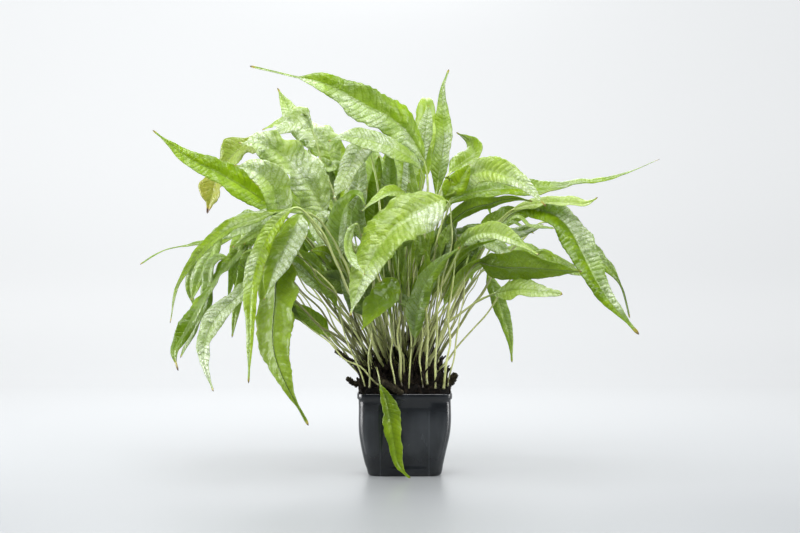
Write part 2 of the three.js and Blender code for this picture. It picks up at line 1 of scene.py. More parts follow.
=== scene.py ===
"""Dresses a potted java fern: glossy quilted fronds that arch out of a root mass in a square pot.

Lengths are metres, +Z is up and the viewer stands at -Y. Each frond follows the line, the width
and the facing of its CAD solid, and gets a thin quilted blade with wavy margins on a round stalk.
"""

from __future__ import annotations

import json
import logging
import math
from dataclasses import dataclass, field
from enum import Enum

import bmesh
import bpy
import numpy as np
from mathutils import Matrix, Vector, noise
from mathutils.bvhtree import BVHTree

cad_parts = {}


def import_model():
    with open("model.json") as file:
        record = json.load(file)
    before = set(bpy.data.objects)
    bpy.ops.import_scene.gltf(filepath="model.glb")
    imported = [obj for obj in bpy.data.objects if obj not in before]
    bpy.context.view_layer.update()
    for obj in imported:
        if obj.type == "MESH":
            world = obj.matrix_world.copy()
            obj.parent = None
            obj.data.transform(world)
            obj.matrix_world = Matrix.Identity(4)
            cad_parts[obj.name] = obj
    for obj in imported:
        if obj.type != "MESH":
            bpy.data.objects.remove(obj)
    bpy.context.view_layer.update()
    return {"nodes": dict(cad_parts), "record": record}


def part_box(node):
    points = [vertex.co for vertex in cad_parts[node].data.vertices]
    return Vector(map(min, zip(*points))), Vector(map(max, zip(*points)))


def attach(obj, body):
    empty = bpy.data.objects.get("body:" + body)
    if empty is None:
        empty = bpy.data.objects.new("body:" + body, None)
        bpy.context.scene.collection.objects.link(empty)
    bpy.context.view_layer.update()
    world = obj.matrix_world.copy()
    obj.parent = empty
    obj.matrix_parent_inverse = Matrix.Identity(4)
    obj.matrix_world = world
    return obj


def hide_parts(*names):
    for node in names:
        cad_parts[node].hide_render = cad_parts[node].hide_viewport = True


LOG = logging.getLogger("java_fern")
MM = 0.001
ROOT_BODY = "root"
ROOT_MIDDLE = np.array([0.0, 0.0, 0.1])
STALK_RINGS = 5
YOUNG_STALK_STEPS = 5
YOUNG_BLADE_STEPS = 12
RING_START = np.array([0.31, 0.87, 0.38])
WELD = 0.005 * MM
PANEL_HALF = 23 * MM

Colour = tuple[float, float, float]
Place = tuple[float, float, float]
Pair = tuple[float, float]
Socket = bpy.types.NodeSocket


class Part(Enum):
    """Which part of a frond a vertex belongs to, as the number that its mesh holds."""

    UNDERSIDE = 0.0
    UPPER_SIDE = 1.0
    RIB = 2.0


class Look(Enum):
    """The record's material slots that the plant's pieces take their finish from."""

    FRESH = "leaf_fresh"
    PALE = "leaf_pale"
    DEEP = "leaf_deep"
    YELLOW = "leaf_yellow"
    ROOTS = "roots"
    RHIZOME = "rhizome"
    POT = "pot_plastic"


# Lines, noise and frames


def unit(vectors: np.ndarray) -> np.ndarray:
    """Rows of vectors scaled to length one."""
    return vectors / np.maximum(np.linalg.norm(vectors, axis=-1, keepdims=True), 1e-12)


def smooth_through(knots: np.ndarray, values: np.ndarray, at: np.ndarray) -> np.ndarray:
    """A smooth curve through values at knots.

    Args:
        knots: Rising places of the values.
        values: One number or one row of numbers for each knot.
        at: Places to read the curve at.

    Returns:
        The curve's values at those places.
    """
    flat = values.ndim == 1
    rows = values[:, None] if flat else values
    slopes = np.gradient(rows, knots, axis=0)
    low = np.clip(np.searchsorted(knots, at, side="right") - 1, 0, len(knots) - 2)
    step = (knots[low + 1] - knots[low])[:, None]
    t = np.clip((at - knots[low])[:, None] / step, 0, 1)
    start = (2 * t**3 - 3 * t**2 + 1) * rows[low] + (t**3 - 2 * t**2 + t) * step * slopes[low]
    end = (3 * t**2 - 2 * t**3) * rows[low + 1] + (t**3 - t**2) * step * slopes[low + 1]
    found = start + end
    return found[:, 0] if flat else found


def wander(at: np.ndarray, step: float, rng: np.random.Generator) -> np.ndarray:
    """A smooth random line between -1 and 1 with one turn for about each step."""
    knots = np.arange(at.min() - step, at.max() + 3 * step, step)
    return smooth_through(knots, rng.uniform(-1, 1, len(knots)), at)


def carried_frames(points: np.ndarray, first: np.ndarray) -> tuple[np.ndarray, np.ndarray]:
    """Directions across a line that turn with it and don't spin round it.

    Args:
        points: The line's points.
        first: A direction that the frame's first side is near at the start.

    Returns:
        Two directions for each point, square to the line and to each other.
    """
    tangents = unit(np.gradient(points, axis=0))
    one = []
    side = first
    for tangent in tangents:
        side = side - tangent * float(side @ tangent)
        side = side / max(np.linalg.norm(side), 1e-9)
        one.append(side)
    one = np.array(one)
    return one, np.cross(tangents, one)


# Reading the solids


def ring_layers(solid: bpy.types.Object) -> list[np.ndarray]:
    """Rings of points along a solid that was lofted between two end points.

    Args:
        solid: A CAD node's object.

    Returns:
        The points of each ring, from the end that lies nearer the roots' middle.
    """
    shape = bmesh.new()
    shape.from_mesh(solid.data)
    bmesh.ops.remove_doubles(shape, verts=shape.verts, dist=WELD)
    middle = Vector(ROOT_MIDDLE)
    by_distance = sorted(shape.verts, key=lambda vertex: (vertex.co - middle).length)
    found: list[np.ndarray] = []
    for start in by_distance:
        layers = [[start]]
        seen = {start}
        while layers[-1]:
            onward = {edge.other_vert(v) for v in layers[-1] for edge in v.link_edges} - seen
            seen |= onward
            layers.append(sorted(onward, key=lambda vertex: vertex.index))
        layers.pop()
        counts = {len(layer) for layer in layers[1:-1]}
        if len(layers[-1]) == 1 and len(counts) == 1 and min(counts) == len(layers[1]) > 2:
            found = [np.array([vertex.co[:] for vertex in layer]) for layer in layers]
            break
    shape.free()
    return found


@dataclass
class Spine:
    """The line of a frond's stalk and midrib, with its half-widths and its facing."""

    centres: np.ndarray
    facing: np.ndarray
    half_widths: np.ndarray
    neck: int

    @classmethod
    def from_solid(cls, solid: bpy.types.Object) -> Spine:
        """Reads the spine of a four-cornered frond solid.

        Args:
            solid: The frond's CAD node.

        Returns:
            Its spine, from the foot to the tip.
        """
        layers = ring_layers(solid)
        rings = layers[1:-1]
        pairs = [cls._opposite_pairs(ring) for ring in rings]
        spans = [max(np.linalg.norm(a[0] - a[1]) for a in pair) for pair in pairs]
        widest = int(np.argmax(spans))
        wide, narrow = sorted(pairs[widest], key=lambda a: -np.linalg.norm(a[0] - a[1]))
        fold = wide.mean(0) - narrow.mean(0)
        tangent = rings[min(widest + 1, len(rings) - 1)].mean(0) - rings[widest - 1].mean(0)
        facing = narrow[0] - narrow[1]
        facing = facing * np.sign(facing @ fold)
        across = wide[0] - wide[1]
        across = across * np.sign(across @ np.cross(facing, tangent))
        found = {}
        for order in (range(widest, len(rings)), range(widest, -1, -1)):
            last_across, last_facing = unit(across), unit(facing)
            for index in order:
                one, two = pairs[index]
                if abs(unit(two[0] - two[1]) @ last_across) > abs(unit(one[0] - one[1]) @ last_across):
                    one, two = two, one
                direction = unit(one[0] - one[1])
                up = unit(two[0] - two[1])
                last_across = direction * (1 if direction @ last_across > 0 else -1)
                last_facing = up * (1 if up @ last_facing > 0 else -1)
                half = np.linalg.norm(one[0] - one[1]) / 2
                found[index] = (two.mean(0), last_facing, half)
        order = [found[index] for index in range(len(rings))]
        ends = (layers[0][0], layers[-1][0])
        return cls(
            centres=np.array([ends[0], *(item[0] for item in order), ends[1]]),
            facing=np.array([order[0][1], *(item[1] for item in order), order[-1][1]]),
            half_widths=np.array([order[0][2], *(item[2] for item in order), 0.0]),
            neck=1 + STALK_RINGS,
        )

    @classmethod
    def through(cls, places: np.ndarray, facing: np.ndarray, half_width: float) -> Spine:
        """A young frond's spine.

        Args:
            places: Its foot, its neck, a place half-way along its blade, and its tip.
            facing: The way that the blade's upper side looks.
            half_width: Half of the blade's greatest width.

        Returns:
            The spine through those places.
        """
        stalk_at = np.linspace(0, 1, YOUNG_STALK_STEPS + 1)
        at = np.concatenate([stalk_at, np.linspace(1, 3, YOUNG_BLADE_STEPS + 1)[1:]])
        along = np.clip((at - 1) / 2, 0, 1)
        widths = half_width * np.sin(math.pi * along**0.8) ** 0.8
        return cls(
            centres=smooth_through(np.arange(4.0), places, at),
            facing=np.tile(unit(facing), (len(at), 1)),
            half_widths=widths,
            neck=YOUNG_STALK_STEPS,
        )

    @staticmethod
    def _opposite_pairs(ring: np.ndarray) -> list[np.ndarray]:
        """The two pairs of opposite corners of a ring of four.

        Args:
            ring: The ring's corners.

        Returns:
            Two pairs, each of two corners.
        """
        ways = (((0, 1), (2, 3)), ((0, 2), (1, 3)), ((0, 3), (1, 2)))

        def middles_apart(way: tuple) -> float:
            """How far apart the middles of two pairs are."""
            return float(np.linalg.norm(ring[list(way[0])].mean(0) - ring[list(way[1])].mean(0)))

        def lengths(way: tuple) -> float:
            """The two pairs' lengths together."""
            return sum(float(np.linalg.norm(ring[a] - ring[b])) for a, b in way)

        best = min(ways, key=lambda way: middles_apart(way) - 0.5 * lengths(way))
        return [ring[list(pair)] for pair in best]

    @property
    def runs(self) -> np.ndarray:
        """Distance along the line to each of its points."""
        steps = np.linalg.norm(np.diff(self.centres, axis=0), axis=1)
        return np.concatenate([[0.0], np.cumsum(steps)])


# Meshes


def grid_places(shape: bmesh.types.BMesh, along: int, across: int) -> tuple[list, np.ndarray, np.ndarray]:
    """Adds a grid and tells where each of its vertices stands in it.

    Args:
        shape: The mesh to add to.
        along: Faces in the first direction.
        across: Faces in the second direction.

    Returns:
        The new vertices, and their row and column numbers.
    """
    made = bmesh.ops.create_grid(shape, x_segments=along, y_segments=across, size=0.5)
    vertices = made["verts"]
    flat = np.array([vertex.co[:2] for vertex in vertices]) + 0.5
    rows = np.rint(flat[:, 0] * along).astype(int)
    columns = np.rint(flat[:, 1] * across).astype(int)
    return vertices, rows, columns


def place(vertices: list, points: np.ndarray) -> None:
    """Moves vertices to points."""
    for vertex, point in zip(vertices, points.tolist()):
        vertex.co = point


def add_tube(
    shape: bmesh.types.BMesh, points: np.ndarray, radii: np.ndarray, sides: int, ripple: float = 0.0
) -> tuple[list, np.ndarray]:
    """Adds a closed tube round a line.

    Args:
        shape: The mesh to add to.
        points: The line.
        radii: The tube's radius at each point; the ends are drawn to a point.
        sides: Faces round the tube.
        ripple: How uneven the tube's skin is, as a share of its radius.

    Returns:
        The tube's vertices and the row of the line that each stands on.
    """
    one, two = carried_frames(points, RING_START)
    vertices, rows, columns = grid_places(shape, len(points) - 1, sides)
    angles = columns * (2 * math.pi / sides)
    reach = radii.copy()
    reach[0] = 0
    reach[-1] = 0
    uneven = 1 + ripple * np.sin(3 * angles + rows * 1.7) * np.sin(rows * 2.3)
    out = (reach[rows] * uneven)[:, None]
    outward = np.cos(angles)[:, None] * one[rows] + np.sin(angles)[:, None] * two[rows]
    place(vertices, points[rows] + out * outward)
    kept = bmesh.ops.find_doubles(shape, verts=vertices, dist=0.002 * MM)["targetmap"]
    bmesh.ops.weld_verts(shape, targetmap=kept)
    left = [(vertex, row) for vertex, row in zip(vertices, rows.tolist()) if vertex.is_valid]
    return [vertex for vertex, _ in left], np.array([row for _, row in left])


def finished(shape: bmesh.types.BMesh, name: str, material: bpy.types.Material) -> bpy.types.Object:
    """Turns a bmesh into a smooth-shaded object in the scene.

    Args:
        shape: The mesh, which is freed.
        name: The object's name.
        material: Its material.

    Returns:
        The new object.
    """
    bmesh.ops.recalc_face_normals(shape, faces=shape.faces)
    for face in shape.faces:
        face.smooth = True
    mesh = bpy.data.meshes.new(name)
    shape.to_mesh(mesh)
    shape.free()
    mesh.materials.append(material)
    made = bpy.data.objects.new(name, mesh)
    bpy.context.scene.collection.objects.link(made)
    return made


# Finishes


class Graph:
    """A material's nodes, with short ways to add and join them."""

    def __init__(self, name: str) -> None:
        """Starts a material that shows one surface shader.

        Args:
            name: The material's name.
        """
        self.material = bpy.data.materials.new(name)
        self.material.use_nodes = True
        self.nodes = self.material.node_tree.nodes
        self.nodes.clear()
        self.output = self.nodes.new("ShaderNodeOutputMaterial")

    def add(self, kind: str, **inputs: object) -> bpy.types.Node:
        """Adds a node.

        Args:
            kind: The node's type after ShaderNode.
            **inputs: Values or sockets for its inputs, with underscores for spaces.

        Returns:
            The new node.
        """
        node = self.nodes.new("ShaderNode" + kind)
        for name, value in inputs.items():
            self.feed(node.inputs[name.replace("_", " ")], value)
        return node

    def feed(self, socket: Socket, value: object) -> None:
        """Links a socket to an input, or sets it to a value.

        Args:
            socket: The input.
            value: A socket, a number, or a colour of three numbers.
        """
        if isinstance(value, Socket):
            self.material.node_tree.links.new(value, socket)
        elif isinstance(value, tuple) and len(value) == 3 and socket.type == "RGBA":
            socket.default_value = (*value, 1.0)
        else:
            socket.default_value = value

    def maths(self, operation: str, *values: object) -> Socket:
        """The result of a Math node on numbers or sockets.

        Args:
            operation: The node's operation.
            *values: Numbers or sockets.

        Returns:
            The node's output.
        """
        node = self.nodes.new("ShaderNodeMath")
        node.operation = operation
        for socket, value in zip(node.inputs, values):
            self.feed(socket, value)
        return node.outputs[0]

    def plus(self, one: object, two: object) -> Socket:
        """The sum of two numbers or sockets."""
        return self.maths("ADD", one, two)

    def minus(self, one: object, two: object) -> Socket:
        """The first number or socket less the second."""
        return self.maths("SUBTRACT", one, two)

    def times(self, one: object, two: object) -> Socket:
        """The product of two numbers or sockets."""
        return self.maths("MULTIPLY", one, two)

    def times_plus(self, one: object, two: object, three: object) -> Socket:
        """The product of the first two numbers or sockets, plus the third."""
        return self.maths("MULTIPLY_ADD", one, two, three)

    def inverse(self, value: object) -> Socket:
        """One less a number or socket."""
        return self.maths("SUBTRACT", 1.0, value)

    def mix(self, share: object, first: object, second: object) -> Socket:
        """A colour between two, nearer the second as the share rises.

        Args:
            share: How near to the second, from 0 to 1.
            first: A colour or a socket.
            second: Likewise.

        Returns:
            The mixed colour.
        """
        node = self.nodes.new("ShaderNodeMix")
        node.data_type = "RGBA"
        self.feed(node.inputs["Factor"], share)
        self.feed(node.inputs[6], first)
        self.feed(node.inputs[7], second)
        return node.outputs[2]

    def between(self, value: object, low: float, high: float) -> Socket:
        """A smooth step from 0 at low to 1 at high.

        Args:
            value: The number or socket.
            low: Where the step starts.
            high: Where it ends.

        Returns:
            The step's height.
        """
        node = self.nodes.new("ShaderNodeMapRange")
        node.interpolation_type = "SMOOTHSTEP"
        self.feed(node.inputs["Value"], value)
        node.inputs["From Min"].default_value = low
        node.inputs["From Max"].default_value = high
        return node.outputs["Result"]

    def attribute(self, name: str) -> Socket:
        """A number that the mesh holds at each vertex.

        Args:
            name: The attribute's name.

        Returns:
            The number.
        """
        node = self.nodes.new("ShaderNodeAttribute")
        node.attribute_name = name
        return node.outputs["Fac"]

    def object_place(self) -> Socket:
        """Object coordinates."""
        return self.add("TexCoord").outputs["Object"]

    def noise(self, place: object, scale: float, detail: float = 3.0) -> Socket:
        """Noise between 0 and 1 at a scale in cells a metre."""
        return self.add("TexNoise", Vector=place, Scale=scale, Detail=detail).outputs[0]

    def bump(self, height: object, distance: float, strength: float) -> Socket:
        """A normal that a height bends."""
        return self.add("Bump", Height=height, Distance=distance, Strength=strength).outputs[0]

    def blend(self, share: object, first: bpy.types.Node, second: bpy.types.Node) -> bpy.types.Node:
        """A shader between two, nearer the second as the share rises.

        Args:
            share: How near to the second, from 0 to 1.
            first: A shader.
            second: Likewise.

        Returns:
            The mixed shader.
        """
        node = self.nodes.new("ShaderNodeMixShader")
        self.feed(node.inputs[0], share)
        self.feed(node.inputs[1], first.outputs[0])
        self.feed(node.inputs[2], second.outputs[0])
        return node

    def show(self, shader: bpy.types.Node) -> bpy.types.Material:
        """Shows a shader as the surface and returns the material."""
        self.feed(self.output.inputs["Surface"], shader.outputs[0])
        return self.material


class LeafPattern:
    """The patterns on a leaf that its finish is mixed from.

    blotches, clouds and grain are uneven from coarse to fine. dots are raised cells, and net is 0
    on the lines between larger ones. valley is 1 in the hollows over the side veins, and thread on
    the veins. light is how light the green is, with painted shade in the hollows over the side
    veins, frayed how withered the leaf is with ragged edges, and dry where it is brown. The others
    are numbers that the frond's mesh holds.
    """

    def __init__(self, graph: Graph) -> None:
        """Adds the patterns' nodes to a material.

        Args:
            graph: The material's nodes.
        """
        here = graph.object_place()
        self.blotches = graph.between(graph.noise(here, 34.0, 4.0), 0.32, 0.68)
        self.clouds = graph.between(graph.noise(here, 120.0, 4.0), 0.35, 0.65)
        self.grain = graph.noise(here, 800.0, 2.0)
        self.reach = graph.attribute("reach")
        self.growth = graph.attribute("growth")
        self.tone = graph.attribute("tone")
        self.gloss_and_painted_sheen = graph.attribute("gloss_and_painted_sheen")
        part = graph.attribute("part")
        self.is_upper = graph.between(part, 0.4, 0.6)
        self.is_rib = graph.between(part, 1.4, 1.6)

        flat = graph.add("CombineXYZ", X=graph.attribute("run"), Y=self.reach).outputs[0]
        cells = graph.add("TexVoronoi", Vector=flat, Scale=430.0)
        self.dots = graph.inverse(graph.between(cells.outputs["Distance"], 0.15, 0.5))
        mesh = graph.add("TexVoronoi", Vector=flat, Scale=260.0)
        mesh.feature = "DISTANCE_TO_EDGE"
        self.net = graph.between(mesh.outputs["Distance"], 0.0, 0.22)
        phase = graph.maths("FRACT", graph.attribute("vein"))
        off_middle = graph.maths("ABSOLUTE", graph.minus(phase, 0.5))
        broken = graph.times_plus(self.clouds, 0.6, 0.4)
        self.valley = graph.times(graph.between(off_middle, 0.26, 0.5), broken)
        self.thread = graph.between(off_middle, 0.45, 0.49)

        light = graph.times_plus(self.tone, 0.5, graph.times(self.blotches, 0.6))
        light = graph.plus(light, graph.times(self.clouds, 0.35))
        # painted shade: the green is darker in the hollows over the side veins
        light = graph.minus(light, graph.times(self.valley, 0.16))
        self.light = graph.add("Clamp", Value=light).outputs[0]
        ragged = graph.times(graph.minus(self.grain, 0.5), 0.35)
        self.frayed = graph.plus(graph.attribute("wither"), ragged)
        self.dry = graph.between(self.frayed, 0.5, 0.85)


@dataclass(frozen=True)
class LeafFinish:
    """A wet fern blade: glossy above with a painted silvery sheen, duller below, veined, and lit through from
    behind.
    """

    name: str
    lit: Colour
    shade: Colour
    underside: Colour
    glow: Colour
    # painted sheen: a pale silvery colour that stands in for highlights on the upper side
    gloss_and_painted_sheen: Colour = (0.75, 0.82, 0.62)
    gloss: float = 0.33
    wetness: float = 0.35
    wet_roughness: float = 0.13
    through: float = 0.42
    midrib: Colour = (0.42, 0.56, 0.15)
    stalk: Colour = (0.52, 0.56, 0.22)
    dull_stalk: Colour = (0.17, 0.18, 0.06)
    foot: Colour = (0.03, 0.022, 0.01)
    yellowed: Colour = (0.42, 0.37, 0.06)
    withered: Colour = (0.1, 0.045, 0.018)

    def _upper_side(self, graph: Graph, on: LeafPattern) -> Socket:
        """The colour of the upper side, with a painted silvery sheen in patches.

        Args:
            graph: The material's nodes.
            on: The leaf's patterns.

        Returns:
            The colour.
        """
        colour = graph.mix(on.light, self.shade, self.lit)
        colour = graph.mix(graph.times(on.dots, 0.18), colour, self.lit)
        # painted sheen: the upper side turns pale and silvery in patches, least in the hollows over the side
        # veins
        painted_sheen_share = graph.times(on.gloss_and_painted_sheen, graph.between(on.grain, 0.2, 0.6))
        painted_sheen_share = graph.times(painted_sheen_share, graph.times_plus(on.valley, -0.6, 1.0))
        painted_sheen_share = graph.times(painted_sheen_share, graph.times_plus(on.clouds, 0.6, 0.5))
        colour = graph.mix(painted_sheen_share, colour, self.gloss_and_painted_sheen)
        return graph.mix(graph.times(on.thread, 0.12), colour, self.shade)

    def _under_side(self, graph: Graph, on: LeafPattern) -> Socket:
        """The colour of the underside.

        Args:
            graph: The material's nodes.
            on: The leaf's patterns.

        Returns:
            The colour.
        """
        colour = graph.mix(graph.times(on.thread, 0.25), self.underside, self.shade)
        colour = graph.mix(graph.times(on.light, 0.6), colour, self.lit)
        return graph.mix(graph.times(on.dots, 0.1), colour, self.gloss_and_painted_sheen)

    def _stem(self, graph: Graph, on: LeafPattern, rib_colour: Socket) -> Socket:
        """The colour of the stalk, from its dark foot to the midrib.

        Args:
            graph: The material's nodes.
            on: The leaf's patterns.
            rib_colour: The colour of the midrib.

        Returns:
            The colour.
        """
        greened = graph.times_plus(on.blotches, 0.05, on.growth)
        greened = graph.times_plus(on.clouds, 0.05, greened)
        greened = graph.times_plus(on.tone, 0.08, greened)
        stem = graph.mix(graph.between(on.tone, -0.9, 0.7), self.dull_stalk, self.stalk)
        rising = graph.mix(graph.between(greened, 0.03, 0.17), self.foot, stem)
        return graph.mix(graph.between(on.growth, 0.3, 0.6), rising, rib_colour)

    def _colour(self, graph: Graph, on: LeafPattern) -> Socket:
        """The colour of the whole frond, yellow and brown where it withers.

        Args:
            graph: The material's nodes.
            on: The leaf's patterns.

        Returns:
            The colour.
        """
        blade = graph.mix(on.is_upper, self._under_side(graph, on), self._upper_side(graph, on))
        blade = graph.mix(graph.times(graph.inverse(on.net), 0.2), blade, self.shade)
        rib_colour = graph.mix(graph.attribute("rib"), self.shade, self.midrib)
        beside_rib = graph.between(graph.maths("ABSOLUTE", on.reach), 0.3 * MM, 0.8 * MM)
        blade = graph.mix(beside_rib, graph.mix(0.5, blade, rib_colour), blade)
        colour = graph.mix(on.is_rib, blade, self._stem(graph, on, rib_colour))
        colour = graph.mix(graph.between(on.frayed, 0.12, 0.5), colour, self.yellowed)
        return graph.mix(on.dry, colour, self.withered)

    def _normal(self, graph: Graph, on: LeafPattern) -> Socket:
        """The fine relief, crisper where the blade is glossiest and faint where it is dullest.

        Args:
            graph: The material's nodes.
            on: The leaf's patterns.

        Returns:
            The bent normal.
        """
        relief = graph.times_plus(on.dots, 0.1, graph.times(on.grain, 0.06))
        relief = graph.times_plus(on.net, 0.16, relief)
        relief = graph.times_plus(on.clouds, 1.6, relief)
        relief = graph.times_plus(on.valley, -0.6, relief)
        relief = graph.times(relief, graph.between(on.gloss_and_painted_sheen, -1.2, 0.0))
        crisp = graph.times_plus(graph.between(on.gloss_and_painted_sheen, 0.4, 1.0), 0.8, 1.0)
        return graph.bump(graph.times(relief, crisp), 0.45 * MM, 1.0)

    def _roughness(self, graph: Graph, on: LeafPattern) -> Socket:
        """The roughness: least where it is waxy, most where it is dry.

        Args:
            graph: The material's nodes.
            on: The leaf's patterns.

        Returns:
            The roughness.
        """
        rough = graph.times_plus(on.gloss_and_painted_sheen, -0.15, self.gloss)
        rough = graph.times_plus(graph.minus(on.clouds, 0.5), -0.06, rough)
        rough = graph.times_plus(graph.inverse(on.is_upper), 0.08, rough)
        rough = graph.times_plus(on.is_rib, -0.04, rough)
        return graph.times_plus(on.dry, 0.25, rough)

    def _light_through(self, graph: Graph, on: LeafPattern) -> Socket:
        """The colour of the light that comes through the blade.

        Args:
            graph: The material's nodes.
            on: The leaf's patterns.

        Returns:
            The colour.
        """
        colour = graph.mix(graph.times(on.valley, 0.4), self.glow, self.lit)
        colour = graph.mix(on.blotches, graph.mix(0.3, colour, self.shade), colour)
        colour = graph.mix(graph.between(on.frayed, 0.2, 0.6), colour, self.yellowed)
        return graph.mix(on.dry, colour, self.withered)

    def material(self) -> bpy.types.Material:
        """The finish as a material that reads the frond's own numbers.

        Returns:
            The new material.
        """
        graph = Graph(self.name)
        on = LeafPattern(graph)
        normal = self._normal(graph, on)
        surface = graph.add(
            "BsdfPrincipled", Base_Color=self._colour(graph, on), Roughness=self._roughness(graph, on),
            Normal=normal, IOR=1.42,
        )
        surface.inputs["Coat Weight"].default_value = self.wetness
        surface.inputs["Coat Roughness"].default_value = self.wet_roughness
        glow = graph.add("BsdfTranslucent", Color=self._light_through(graph, on), Normal=normal)
        share = graph.times(graph.inverse(on.is_rib), self.through)
        return graph.show(graph.blend(share, surface, glow))


@dataclass(frozen=True)
class BarkFinish:
    """Rough brown matter: packed roots, fibres or creeping stems."""

    name: str
    dark: Colour
    light: Colour
    coarse: float = 180.0
    roughness: float = 0.75
    relief: float = 0.5 * MM

    def material(self) -> bpy.types.Material:
        """The finish as a material.

        Returns:
            The new material.
        """
        graph = Graph(self.name)
        place_now = graph.object_place()
        lumps = graph.noise(place_now, self.coarse, 5.0)
        fine = graph.noise(place_now, self.coarse * 6, 3.0)
        colour = graph.mix(graph.between(lumps, 0.42, 0.72), self.dark, self.light)
        colour = graph.mix(graph.times(graph.between(fine, 0.5, 0.8), 0.4), colour, self.light)
        height = graph.plus(lumps, graph.times(fine, 0.4))
        normal = graph.bump(height, self.relief, 0.8)
        rough = graph.times_plus(fine, 0.25, self.roughness - 0.15)
        surface = graph.add("BsdfPrincipled", Base_Color=colour, Roughness=rough, Normal=normal, IOR=1.25)
        return graph.show(surface)


@dataclass(frozen=True)
class PotFinish:
    """Thin moulded black plastic, a little dusty, with a painted reflection round its belly and painted
    highlights along its panel edges.
    """

    name: str
    body: Colour = (0.006, 0.0075, 0.0095)
    dust: Colour = (0.034, 0.04, 0.047)
    # painted reflection: the lighter colour of the band round the belly and of the panel edges, and the
    # heights where the band starts and ends
    painted_reflection: Colour = (0.05, 0.057, 0.064)
    reflection_starts: Pair = (18 * MM, 30 * MM)
    reflection_ends: Pair = (59 * MM, 70 * MM)
    roughness: float = 0.13

    def material(self) -> bpy.types.Material:
        """The finish as a material.

        Returns:
            The new material.
        """
        graph = Graph(self.name)
        place_now = graph.object_place()
        cloud = graph.noise(place_now, 28.0, 4.0)
        wide = graph.add("Mapping", Vector=place_now)
        wide.inputs["Scale"].default_value = (46.0, 46.0, 14.0)
        patchy_reflection = graph.between(graph.noise(wide.outputs[0], 1.0, 2.0), 0.4, 0.66)
        fine = graph.noise(place_now, 1400.0, 2.0)
        drawn = graph.add("Mapping", Vector=place_now)
        drawn.inputs["Scale"].default_value = (260.0, 260.0, 22.0)
        streaks = graph.noise(drawn.outputs[0], 1.0, 3.0)
        dusty = graph.times(graph.between(cloud, 0.45, 0.8), 0.35)
        colour = graph.mix(dusty, self.body, self.dust)
        streaky = graph.times(graph.between(streaks, 0.6, 0.8), 0.2)
        colour = graph.mix(streaky, colour, self.dust)
        apart = graph.add("SeparateXYZ", Vector=place_now)
        inner = graph.maths("MINIMUM", *(graph.maths("ABSOLUTE", apart.outputs[axis]) for axis in "XY"))
        beside_line = graph.maths("ABSOLUTE", graph.minus(inner, PANEL_HALF))
        # painted highlights: thin lighter lines along the panel edges
        line = graph.inverse(graph.between(beside_line, 0.3 * MM, 0.9 * MM))
        # painted reflection: a lighter patchy band round the belly, fading out below the lip
        raised = graph.times_plus(cloud, 6 * MM, apart.outputs["Z"])
        below_lip = graph.inverse(graph.between(raised, *self.reflection_ends))
        belly = graph.times(graph.between(raised, *self.reflection_starts), below_lip)
        belly = graph.times(belly, graph.times_plus(patchy_reflection, 0.35, 0.15))
        belly = graph.times_plus(line, graph.times(below_lip, 0.3), belly)
        colour = graph.mix(belly, colour, self.painted_reflection)
        normal = graph.bump(graph.plus(fine, graph.times(cloud, 6.0)), 0.05 * MM, 0.5)
        rough = graph.times_plus(cloud, 0.2, self.roughness - 0.05)
        rough = graph.times_plus(streaks, 0.1, rough)
        return graph.show(graph.add("BsdfPrincipled", Base_Color=colour, Roughness=rough, Normal=normal))


@dataclass(frozen=True)
class FloorFinish:
    """A pale sheet with a soft sheen that glows where it rises behind the plant.

    It is clear from its back, so that the plant is seen from behind too. near, far_floor,
    rising and upright: where along Y each change starts and ends. rightward: the same along X.
    """

    name: str
    pale: Colour = (0.248, 0.26, 0.27)
    roughness: float = 0.285
    dulls: float = 0.16
    backlight: Colour = (0.975, 0.99, 1.0)
    floor_strength: float = 0.36
    backdrop_strength: float = 0.355
    wall_strength: float = 0.09
    falls_off: float = 0.13
    near: Pair = (-0.32, -0.08)
    far_floor: Pair = (-0.5, 1.1)
    rising: Pair = (1.1, 1.7)
    upright: Pair = (1.6, 2.05)
    rightward: Pair = (-0.6, 1.0)

    def material(self) -> bpy.types.Material:
        """The finish as a material.

        Returns:
            The new material.
        """
        graph = Graph(self.name)
        apart = graph.add("SeparateXYZ", Vector=graph.object_place())
        back = apart.outputs["Y"]
        nearer = graph.inverse(graph.between(back, *self.near))
        rough = graph.times_plus(nearer, self.dulls, self.roughness)
        sheet = graph.add("BsdfPrincipled", Base_Color=self.pale, Roughness=rough, IOR=1.5)
        sheet.inputs["Emission Color"].default_value = (*self.backlight, 1)
        strength = graph.times(graph.between(back, *self.far_floor), self.floor_strength)
        for ends, glow in ((self.rising, self.backdrop_strength), (self.upright, self.wall_strength)):
            strength = graph.times_plus(graph.between(back, *ends), glow, strength)
        to_right = graph.between(apart.outputs["X"], *self.rightward)
        dimmed = graph.times_plus(to_right, -self.falls_off, 1.0)
        strength = graph.times(strength, dimmed)
        graph.feed(sheet.inputs["Emission Strength"], strength)
        from_behind = graph.add("NewGeometry").outputs["Backfacing"]
        return graph.show(graph.blend(from_behind, sheet, graph.add("BsdfTransparent")))


